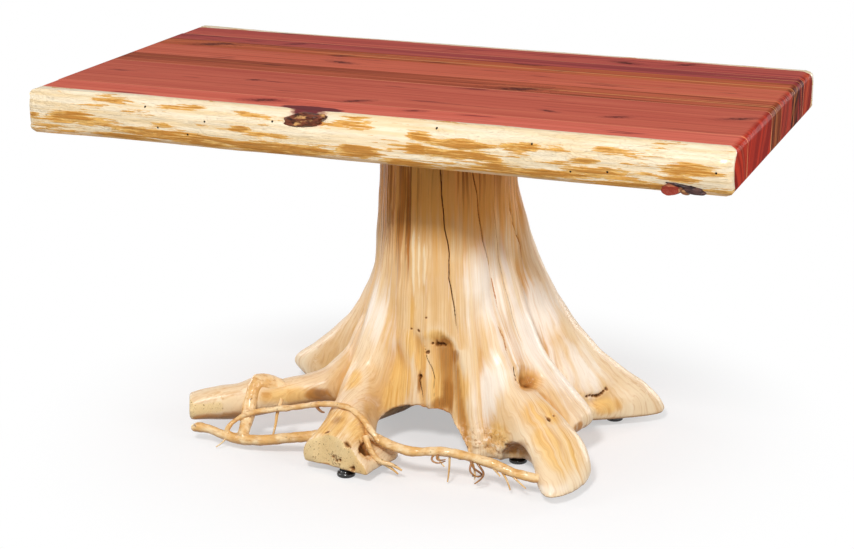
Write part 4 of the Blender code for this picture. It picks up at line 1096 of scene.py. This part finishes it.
FULL_FOLD = 0.012
FULL_HOLLOW = 0.0035
HOLLOW_ROUNDS = 60
STREAK_RISE = 0.09
INSERT_ROOM = 0.0105
LOW_WOOD = 0.016
OVER_INSERT = 0.0128
points = read_points(stump)
before = points.copy()
normals = read_points(stump, "normal")
marks = {name: np.zeros(len(points)) for name in ("crack", "orange", "cream", "pit")}
bearing, reach = around_trunk(points)
turn = np.radians(bearing)
inward = np.stack([-np.cos(turn), -np.sin(turn), np.zeros(len(points))], axis=1)
facing = np.clip(-(normals * inward).sum(axis=1), 0.0, 1.0)
sunk = sum(fold_depth(points, fold) for fold in FOLDS) * facing
points = points + inward * sunk[:, None]
# The fold depth is kept as a mark, from which the finish paints shade into the folds.
marks["fold"] = np.clip(sunk / FULL_FOLD, 0.0, 1.0)
marks["sawn"] = np.zeros(len(points))
for saw_bearing, saw_reach in SAW_FACES:
    away = np.array([math.cos(math.radians(saw_bearing)), math.sin(math.radians(saw_bearing))])
    square_on = soft_step(normals[:, :2] @ away, 0.62, 0.86)
    near_end = soft_step((points[:, :2] - TRUNK) @ away, saw_reach - 0.026, saw_reach - 0.016)
    marks["sawn"] = np.maximum(marks["sawn"], square_on * near_end)
for place, spread, rise, depth in DENTS:
    points = points - normals * (stain_at(before, place, spread, rise) * depth)[:, None]
# The hollow mark says how concave a place is; the finish makes concave places ochre and paints a highlight
# on convex ones.
hollow = ((neighbour_mean(stump, points, HOLLOW_ROUNDS) - points) * normals).sum(axis=1)
marks["hollow"] = np.clip(hollow / FULL_HOLLOW, -1.0, 1.0)
lowest = np.interp(bearing, STREAK_BEARINGS, STREAK_LOWEST)
upper = np.clip((points[:, 2] - lowest) / STREAK_RISE, 0.0, 1.0)
marks["streak"] = np.interp(bearing, STREAK_BEARINGS, STREAK_SHARES) * upper
for name, group in STAINS_AND_PAINTED_LIGHT.items():
    marks[name] = np.max([stain_at(before, *stain) for stain in group], axis=0)
fan = np.stack([np.cos(turn) * 0.1, np.sin(turn) * 0.1, points[:, 2] * 0.12 - reach * 0.12], axis=1)
flutes = lumps(fan, (70.0, 70.0, 16.0), 21) * 0.0022 + lumps(fan, (190.0, 190.0, 26.0), 22) * 0.0015
knobs = lumps(points, (28.0, 28.0, 28.0), 23) * 0.0016
marks["frayed"] = stain_at(before, *FRAYED)
fray = lumps(points, (95.0, 95.0, 160.0), 24) * 0.0042 + lumps(points, (180.0, 180.0, 240.0), 25) * 0.0022
fray = fray * marks["frayed"]
on_wood = soft_step(points[:, 2], 0.013, 0.024) * soft_step(points[:, 2], 0.417, 0.405)
points = points + normals * ((flutes + knobs + fray) * on_wood)[:, None]
# Painted shade: undersides of the stump near the floor are marked to be browned.
marks["under"] = soft_step(-normals[:, 2], 0.05, 0.75) * soft_step(points[:, 2], 0.13, 0.08)
for kind, half_width, depth, line in LINES:
    sideways, inside = line_distance(points, line)
    width = half_width * (0.35 + 0.65 * inside)
    cut = soft_step(sideways, width * 1.5, width * 0.4) * inside
    points = points + inward * (cut * depth)[:, None]
    marks[kind] = np.maximum(marks[kind], cut)
ragged = 1 + 0.7 * lumps(before, (210.0, 210.0, 130.0), 31)
for place, radius, depth in PITS:
    gap = np.linalg.norm(before - np.array(place), axis=1) * ragged
    cut = soft_step(gap, radius * 1.25, radius * 0.2)
    points = points - normals * (cut * depth)[:, None]
    marks["pit"] = np.maximum(marks["pit"], cut)
for foot in FEET:
    low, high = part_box(foot + "_foot_insert")
    middle = np.array([(low[0] + high[0]) / 2, (low[1] + high[1]) / 2])
    under = (np.linalg.norm(points[:, :2] - middle, axis=1) < INSERT_ROOM) & (points[:, 2] < LOW_WOOD)
    points[under, 2] = np.maximum(points[under, 2], OVER_INSERT)
write_points(stump, points)
for name, values in marks.items():
    leave_mark(stump, name, values)
select_only(stump)
bpy.ops.object.shade_smooth()
print("marks", {name: int((values > 0.5).sum()) for name, values in marks.items()})

# %% [markdown]
# Under its glossy lacquer the peeled wood is pale tan. Fine fibres run down the trunk and out along
# the roots, so the pattern is drawn on the direction from the trunk's axis, which is the same all
# along a root. Hollows keep an ochre tone, the upper trunk has brown streaks, and the saw cuts show
# rings. Painted shade darkens the folds, the recesses and the undersides near the floor, and gives
# the upper trunk under the slab a golden brown tone; painted highlights turn convex places and some
# patches nearly white.


# %% Finish of the stump
def peeled_wood(name):
    """Lacquered stump wood: stains, streaks, cracks, pits, painted shade and painted highlights."""
    finish, shader, point = new_finish(name, 0.36, 0.34, 0.22, 0.08)
    shader.inputs["Coat IOR"].default_value = 1.32
    x, y, z = axes_of(point)
    east = x - float(TRUNK[0])
    north = y - float(TRUNK[1])
    reach = (east * east + north * north) ** 0.5
    wander = (cloud(point, (30.0, 30.0, 12.0), 2.0) - 0.5) * 0.005
    fan = vector_of(east / reach * 0.1 + wander, north / reach * 0.1 + wander, z * 0.1 - reach * 0.1)
    fine = cloud(fan, (620.0, 620.0, 60.0), 4.0, 0.6)
    broad = cloud(fan, (130.0, 130.0, 26.0), 3.0)
    streaks = cloud(fan, (250.0, 250.0, 26.0), 4.0, 0.6)
    bright = cloud(fan, (320.0, 320.0, 24.0), 3.0)
    blotch = cloud(point, (14.0, 14.0, 14.0), 3.0)
    spots = cloud(point, (46.0, 46.0, 34.0), 4.0, 0.6)
    torn = (broad - 0.5) * 0.5 + (fine - 0.5) * 0.4 + (spots - 0.5) * 0.5
    fibres = (broad - 0.5) * 1.0 + (streaks - 0.5) * 0.9 + (fine - 0.5) * 0.6 + (blotch - 0.5) * 0.7
    colour = tint(fade(broad, 0.36, 0.68), (236, 204, 156), (225, 182, 122))
    colour = tint(fade(blotch, 0.45, 0.75) * 0.5, colour, (222, 170, 98))
    hollow = attribute(point, "hollow")
    colour = tint(fade(hollow + torn * 0.5, 0.06, 0.7) * 0.7, colour, (210, 148, 66))
    # Painted highlight: convex places turn paler.
    colour = tint(fade(hollow + torn * 0.5, -0.1, -0.7) * 0.5, colour, (248, 232, 202))
    # Painted highlight: pale patches and fibres turn the wood near white where the lacquer would shine.
    pale = fade(attribute(point, "pale") * 0.72 + fibres * 1.3, 0.10, 0.76)
    colour = tint(pale * 0.9, colour, (252, 243, 228))
    quiet = 1 - pale * 0.6
    ochre_tone = tint(fade(fine, 0.38, 0.64), (243, 202, 128), (230, 176, 94))
    brown_tone = tint(fade(fine, 0.35, 0.65), (150, 94, 38), (184, 124, 56))
    ochre = fade(attribute(point, "ochre") * 0.8 + fibres * 0.7, 0.12, 0.7)
    colour = tint(ochre * 0.85, colour, ochre_tone)
    # Painted shade: the folds turn ochre, and brown where they are deepest.
    fold = attribute(point, "fold") + torn * 0.3
    colour = tint(fade(fold, 0.1, 0.6) * 0.5, colour, ochre_tone)
    colour = tint(fade(fold, 0.5, 1.05) * 0.75, colour, brown_tone)
    # Brown patches: partly brown wood, partly painted shade in recesses and crotches.
    brown = fade(attribute(point, "brown") + (spots - 0.5) * 0.9 + (fine - 0.5) * 0.7, 0.25, 0.85)
    colour = tint(brown * 0.85, colour, brown_tone)
    colour = tint(fade(streaks, 0.54, 0.68) * quiet * 0.3, colour, (206, 146, 74))
    colour = tint(fade(bright, 0.55, 0.68) * 0.35, colour, (252, 238, 210))
    colour = tint(fade(fine, 0.5, 0.68) * quiet * 0.32, colour, (196, 136, 68))
    hair = cloud(fan, (1500.0, 1500.0, 80.0), 3.0)
    colour = tint(fade(hair, 0.5, 0.7) * quiet * 0.3, colour, (194, 138, 74))
    # Painted shade: the undersides near the floor turn brown.
    under = fade(attribute(point, "under") + torn * 0.6, 0.1, 0.8)
    colour = tint(under * 0.7, colour, (170, 112, 52))
    flakes = cloud(point, (130.0, 130.0, 170.0), 4.0, 0.6)
    frayed = attribute(point, "frayed")
    colour = tint(fade(flakes, 0.47, 0.38) * frayed * 0.6, colour, (252, 240, 216))
    colour = tint(fade(flakes, 0.55, 0.64) * frayed * 0.85, colour, (158, 100, 44))
    shade = attribute(point, "streak")
    # Painted shade: golden brown on the upper trunk, where the slab shades it, weaker at the back.
    golden = fade(z + (broad - 0.5) * 0.12, 0.25, 0.33) * (0.85 - fade(y, 0.02, 0.08) * 0.55)
    colour = tint(golden, colour, (232, 164, 70))
    warm = cloud(fan, (180.0, 180.0, 20.0), 2.0)
    brown_streak = tint(fade(warm, 0.4, 0.62), (146, 88, 28), (192, 122, 44))
    colour = tint(fade(streaks + shade * 0.12, 0.55, 0.66) * shade * 0.9, colour, brown_streak)
    orange = fade(attribute(point, "orange") + torn, 0.3, 0.8)
    colour = tint(orange * 0.85, colour, (184, 114, 44))
    cream = fade(attribute(point, "cream") + torn, 0.3, 0.8)
    colour = tint(cream * 0.7, colour, (248, 230, 192))
    rings = cloud(point, (60.0, 60.0, 60.0), 2.0)
    contour = rings.math("FRACT", rings * 16.0)
    end_wood = tint(fade(contour, 0.3, 0.0) * 0.35, (236, 208, 154), (190, 144, 86))
    end_wood = tint(fade(blotch, 0.45, 0.7) * 0.6, end_wood, (214, 168, 98))
    pore_noise = cloud(point, (360.0, 360.0, 360.0), 2.0) + attribute(point, "pores") * 0.16
    end_wood = tint(fade(pore_noise, 0.62, 0.70) * 0.75, end_wood, (124, 84, 44))
    sawn = fade(attribute(point, "sawn") + (spots - 0.5) * 0.8, 0.3, 0.7)
    colour = tint(sawn * 0.92, colour, end_wood)
    pit = attribute(point, "pit")
    crack = attribute(point, "crack")
    colour = tint(fade(pit + (spots - 0.5) * 0.3, 0.12, 0.7) * 0.85, colour, (146, 90, 38))
    colour = tint(fade(pit, 0.6, 1.0) * 0.7, colour, (64, 40, 20))
    colour = tint(fade(crack, 0.2, 0.8), colour, (92, 58, 28))
    feed(shader, "Base Color", colour)
    feed(shader, "Roughness", 0.28 + fine * 0.18)
    feed(shader, "Coat Weight", 0.34 - fade(z, 0.16, 0.30) * 0.3)
    height = fine * 0.4 + broad * 0.5 + streaks * 0.5 + spots * 0.4 + hair * 0.15 - crack * 0.5
    feed(shader, "Normal", relief(height, 0.0014))
    return finish


hand_over(stump, "table", "stump_wood", peeled_wood("peeled_stump_finish"), "stump")

# %% [markdown]
# ## Slender roots and rootlets
# Thin roots loop around the front of the stump and carry a few hair-like rootlets. Each is a curve
# with a round bevel, given by points with an x, a y, a z and a radius, and is turned into a mesh. The
# thick ones are joined and remeshed, so they grow into each other.

# %% Curves for the roots
LOW_ROOT = [
    (-0.036, -0.158, 0.041, 0.0080), (-0.060, -0.166, 0.036, 0.0076), (-0.100, -0.175, 0.030, 0.0070),
    (-0.130, -0.181, 0.025, 0.0066), (-0.167, -0.186, 0.018, 0.0072), (-0.196, -0.188, 0.016, 0.0076),
    (-0.222, -0.186, 0.018, 0.0064), (-0.246, -0.183, 0.022, 0.0060), (-0.260, -0.182, 0.023, 0.0068),
    (-0.271, -0.182, 0.020, 0.0054),
]
ARCHED_ROOT = [
    (-0.219, -0.187, 0.020, 0.0034), (-0.218, -0.187, 0.029, 0.0034), (-0.207, -0.176, 0.040, 0.0036),
    (-0.192, -0.170, 0.048, 0.0038), (-0.160, -0.164, 0.055, 0.0040), (-0.126, -0.166, 0.063, 0.0042),
    (-0.092, -0.172, 0.075, 0.0042), (-0.064, -0.178, 0.081, 0.0043), (-0.042, -0.182, 0.081, 0.0044),
    (-0.022, -0.188, 0.072, 0.0043), (-0.008, -0.193, 0.058, 0.0042), (0.006, -0.196, 0.045, 0.0040),
]
TRAILING_ROOT = [
    (-0.045, -0.172, 0.056, 0.0070), (-0.024, -0.180, 0.052, 0.0068), (0.000, -0.190, 0.046, 0.0066),
    (0.020, -0.193, 0.040, 0.0066), (0.048, -0.196, 0.037, 0.0062), (0.074, -0.194, 0.041, 0.0060),
    (0.100, -0.191, 0.043, 0.0062), (0.126, -0.192, 0.041, 0.0060), (0.152, -0.194, 0.038, 0.0062),
    (0.178, -0.196, 0.032, 0.0062), (0.206, -0.198, 0.027, 0.0060), (0.226, -0.190, 0.025, 0.0056),
    (0.242, -0.182, 0.024, 0.0054),
]
DROP_BRANCH = [
    (-0.198, -0.128, 0.080, 0.0090), (-0.199, -0.138, 0.072, 0.0090), (-0.200, -0.148, 0.056, 0.0094),
    (-0.199, -0.160, 0.040, 0.0090), (-0.196, -0.174, 0.029, 0.0086), (-0.195, -0.188, 0.018, 0.0080),
]
COLLAR = [
    (-0.202, -0.133, 0.080, 0.0085), (-0.193, -0.124, 0.074, 0.0130), (-0.176, -0.113, 0.066, 0.0135),
    (-0.156, -0.103, 0.060, 0.0100),
]


def root_curve(name, route, sides):
    """A smooth curve along the points of a route, as thick as their radii, turned into a mesh."""
    curve = bpy.data.curves.new(name, "CURVE")
    curve.dimensions = "3D"
    curve.bevel_depth = 1.0
    curve.bevel_resolution = sides
    curve.use_fill_caps = True
    spline = curve.splines.new("NURBS")
    spline.points.add(len(route) - 1)
    for point, (x, y, z, radius) in zip(spline.points, route):
        point.co = (x, y, z, 1.0)
        point.radius = radius
    spline.use_endpoint_u = True
    spline.order_u = 3
    spline.resolution_u = 6
    piece = bpy.data.objects.new(name, curve)
    bpy.context.collection.objects.link(piece)
    select_only(piece)
    bpy.ops.object.convert(target="MESH")
    return bpy.context.active_object


ROUTES = (LOW_ROOT, ARCHED_ROOT, TRAILING_ROOT, DROP_BRANCH, COLLAR)
ROOT_VOXEL = 0.0011
ROOT_SMOOTHING = 5
roots = join_pieces("slender_roots", [root_curve("root", route, 6) for route in ROUTES])
even_out(roots, ROOT_VOXEL, ROOT_SMOOTHING)
points = read_points(roots)
normals = read_points(roots, "normal")
swell = lumps(points, (55.0, 55.0, 55.0), 41) * 0.0013 + lumps(points, (150.0, 150.0, 150.0), 42) * 0.0006
points = points + normals * swell[:, None]
write_points(roots, points)
# Painted shade: the undersides of the roots are marked to be browner.
leave_mark(roots, "under", soft_step(-normals[:, 2], -0.1, 0.8))
bpy.ops.object.shade_smooth()
print("slender roots", len(roots.data.vertices), "points")

# %% [markdown]
# The roots share the stump's lacquer, with painted shade that makes them browner underneath. Most of
# them run along the table, so a plain noise drawn out that way, with darker blotches, suits them better
# than the trunk's fan.


# %% Finish of the roots
def root_finish(name, pale, golden, brown):
    """Lacquered root wood from three tones."""
    finish, shader, point = new_finish(name, 0.36, 0.5, 0.18, 0.15)
    grain = cloud(point, (60.0, 260.0, 260.0), 4.0, 0.6)
    blotch = cloud(point, (45.0, 45.0, 45.0), 3.0)
    knots = fade(cloud(point, (110.0, 110.0, 110.0), 2.0), 0.66, 0.74)
    colour = tint(fade(blotch, 0.36, 0.62), pale, golden)
    colour = tint(fade(grain, 0.5, 0.7) * 0.6, colour, brown)
    # Painted shade: browner on the undersides.
    colour = tint(attribute(point, "under") * 0.65, colour, brown)
    colour = tint(knots * 0.7, colour, (104, 64, 30))
    feed(shader, "Base Color", colour)
    feed(shader, "Roughness", 0.28 + grain * 0.18)
    feed(shader, "Normal", relief(grain, 0.0009))
    return finish


ROOT_FINISH = root_finish("slender_root_finish", (244, 216, 168), (226, 178, 110), (184, 122, 60))
ROOT_NODES = ("low_left_root", "trailing_root", "drop_branch", "arched_root")
hand_over(roots, "table", "root_wood", ROOT_FINISH, *ROOT_NODES)

# %% Rootlets
ROOTLETS = [
    [(-0.153, -0.150, 0.066, 0.0030), (-0.1561, -0.160, 0.0503, 0.0022), (-0.155, -0.166, 0.0363, 0.0018),
     (-0.157, -0.172, 0.0217, 0.0014)],
    [(0.099, -0.191, 0.041, 0.0016), (0.1004, -0.194, 0.0194, 0.0013), (0.0975, -0.194, 0.003, 0.0009)],
    [(0.0823, -0.192, 0.040, 0.0016), (0.0864, -0.196, 0.030, 0.0012), (0.0946, -0.198, 0.025, 0.0008)],
    [(0.1272, -0.193, 0.040, 0.0018), (0.1381, -0.198, 0.0251, 0.0014), (0.1355, -0.199, 0.0138, 0.0008)],
    [(0.150, -0.194, 0.038, 0.0020), (0.162, -0.199, 0.033, 0.0016), (0.170, -0.200, 0.024, 0.0010)],
    [(0.1636, -0.195, 0.036, 0.0020), (0.1783, -0.200, 0.0266, 0.0015), (0.1839, -0.201, 0.008, 0.0009)],
    [(0.176, -0.196, 0.033, 0.0018), (0.1919, -0.202, 0.0233, 0.0014), (0.2052, -0.203, 0.0141, 0.0008)],
    [(-0.0126, -0.200, 0.0513, 0.0045), (-0.0058, -0.208, 0.0426, 0.0042), (0.0024, -0.209, 0.030, 0.0040),
     (0.012, -0.207, 0.0218, 0.0036), (0.0258, -0.205, 0.0211, 0.0028), (0.0395, -0.205, 0.0141, 0.0012)],
    [(0.010, -0.206, 0.0220, 0.0028), (0.024, -0.203, 0.0157, 0.0020), (0.0334, -0.203, 0.0074, 0.0010)],
    [(-0.214, -0.187, 0.020, 0.0016), (-0.220, -0.194, 0.010, 0.0012), (-0.229, -0.197, 0.004, 0.0008)],
]
CURLS = [
    [(0.128, -0.194, 0.038, 0.0016), (0.133, -0.200, 0.030, 0.0015), (0.141, -0.201, 0.027, 0.0014),
     (0.146, -0.197, 0.021, 0.0013), (0.139, -0.194, 0.016, 0.0011), (0.132, -0.198, 0.018, 0.0008)],
    [(0.136, -0.195, 0.037, 0.0016), (0.143, -0.199, 0.032, 0.0015), (0.149, -0.199, 0.024, 0.0014),
     (0.145, -0.203, 0.016, 0.0012), (0.137, -0.203, 0.010, 0.0008)],
    [(0.131, -0.196, 0.036, 0.0015), (0.129, -0.202, 0.029, 0.0014), (0.135, -0.205, 0.022, 0.0012),
     (0.143, -0.203, 0.020, 0.0008)],
    [(0.082, -0.195, 0.040, 0.0015), (0.077, -0.200, 0.036, 0.0014), (0.081, -0.203, 0.031, 0.0013),
     (0.090, -0.201, 0.030, 0.0011), (0.096, -0.198, 0.033, 0.0007)],
    [(0.088, -0.195, 0.042, 0.0015), (0.084, -0.201, 0.038, 0.0014), (0.089, -0.204, 0.034, 0.0012),
     (0.097, -0.200, 0.036, 0.0007)],
    [(-0.094, -0.172, 0.072, 0.0022), (-0.084, -0.179, 0.066, 0.0018), (-0.078, -0.182, 0.069, 0.0010)],
]


def bundle(name, routes, finish):
    """Thin curves joined into one piece."""
    strands = join_pieces(name, [root_curve("strand", route, 2) for route in routes])
    bpy.ops.object.shade_smooth()
    hand_over(strands, "table", "root_wood", finish)


DARK_ROOT = root_finish("dark_rootlet_finish", (176, 122, 66), (132, 84, 42), (86, 50, 24))
bundle("rootlets", ROOTLETS, ROOT_FINISH)
bundle("curled_rootlets", CURLS, DARK_ROOT)

# %% [markdown]
# ## Levelling feet
# The stump stands on four screw feet. Each pad is a turned disc of glossy black plastic with a rounded
# lower rim and a sloping shoulder. Its half profile, of radii and heights, is drawn as a chain of edges
# and spun round the axis of each stem.


# %% Spun pads
def moulded_plastic():
    """Glossy black plastic with faint moulding ripples."""
    finish, shader, point = new_finish("foot_plastic_finish", 0.22, 0.3, 0.08)
    speck = cloud(point, (700.0, 700.0, 700.0), 2.0)
    feed(shader, "Base Color", tint(speck, (14, 14, 15), (24, 24, 25)))
    feed(shader, "Roughness", 0.18 + speck * 0.1)
    feed(shader, "Normal", relief(speck, 0.00005))
    return finish


PLASTIC = moulded_plastic()
PAD_STEPS = 48
PAD_PROFILE = [
    (0.0, 0.0), (0.0098, 0.0), (0.0110, 0.0003), (0.0118, 0.0010), (0.0120, 0.0020), (0.0120, 0.0040),
    (0.0117, 0.0049), (0.0105, 0.0060), (0.0093, 0.0068), (0.0087, 0.0078), (0.0083, 0.0085),
    (0.0026, 0.0085), (0.0026, 0.0070), (0.0, 0.0068),
]


def pad_for(foot):
    """Spins the pad's half profile round the axis of one foot."""
    low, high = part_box(foot + "_foot_pad")
    middle = ((low[0] + high[0]) / 2, (low[1] + high[1]) / 2, low[2])
    bpy.ops.object.select_all(action="DESELECT")
    bpy.ops.mesh.primitive_plane_add(size=0.001, location=(0.0, 0.0, 0.0))
    pad = bpy.context.active_object
    pad.name = foot + "_levelling_pad"
    outline = [(middle[0] + radius, middle[1], middle[2] + height) for radius, height in PAD_PROFILE]
    chain = [(index, index + 1) for index in range(len(outline) - 1)]
    pad.data.clear_geometry()
    pad.data.from_pydata(outline, chain, [])
    bpy.ops.object.mode_set(mode="EDIT")
    bpy.ops.mesh.select_all(action="SELECT")
    bpy.ops.mesh.spin(steps=PAD_STEPS, angle=math.radians(360), center=middle, axis=(0.0, 0.0, 1.0))
    bpy.ops.mesh.select_all(action="SELECT")
    bpy.ops.mesh.remove_doubles(threshold=0.00002)
    bpy.ops.mesh.normals_make_consistent(inside=False)
    bpy.ops.object.mode_set(mode="OBJECT")
    bpy.ops.object.shade_smooth_by_angle(angle=math.radians(35))
    return pad


for foot in FEET:
    hand_over(pad_for(foot), foot + "_pad", "foot_plastic", PLASTIC, foot + "_foot_pad")

# %% [markdown]
# ## Hardware that stays as the CAD has it
# The plate, the screws, the inserts, the splines and the threaded stems have the right shape already.
# They only need finishes: matt black paint with a fine grit, bright zinc with thin brushing lines,
# and plain pale wood.


# %% Finishes for the hardware
def painted_steel(name, dark, light, roughness):
    """Black paint or oxide with fine grit."""
    finish, shader, point = new_finish(name, roughness, specular=0.4)
    grit = cloud(point, (900.0, 900.0, 900.0), 3.0)
    feed(shader, "Base Color", tint(grit, dark, light))
    feed(shader, "Roughness", grit * 0.2 + (roughness - 0.1))
    feed(shader, "Normal", relief(grit, 0.00008))
    return finish


def bright_zinc():
    """Zinc plate with thin brushing lines."""
    finish, shader, point = new_finish("bright_zinc_finish", 0.3)
    shader.inputs["Metallic"].default_value = 1.0
    lines = cloud(point, (500.0, 500.0, 90.0), 3.0)
    feed(shader, "Base Color", tint(lines, (196, 198, 202), (220, 222, 224)))
    feed(shader, "Roughness", 0.22 + lines * 0.16)
    return finish


def spline_wood():
    """Plain pale hardwood."""
    finish, shader, point = new_finish("spline_wood_finish", 0.6)
    grain = cloud(point, (12.0, 400.0, 400.0), 3.0)
    feed(shader, "Base Color", tint(grain, (222, 190, 140), (190, 148, 96)))
    feed(shader, "Normal", relief(grain, 0.0002))
    return finish


FINISHES = {
    "mounting_plate": painted_steel("matt_black_paint", (26, 26, 27), (40, 40, 41), 0.6),
    "foot_stem": painted_steel("black_oxide", (44, 44, 46), (64, 64, 66), 0.42),
    "screw": bright_zinc(),
    "joint_spline": spline_wood(),
}
FINISHES["foot_insert"] = FINISHES["screw"]
for name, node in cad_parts.items():
    for word, finish in FINISHES.items():
        if word in name:
            node.data.materials.clear()
            node.data.materials.append(finish)
print("hardware finished")
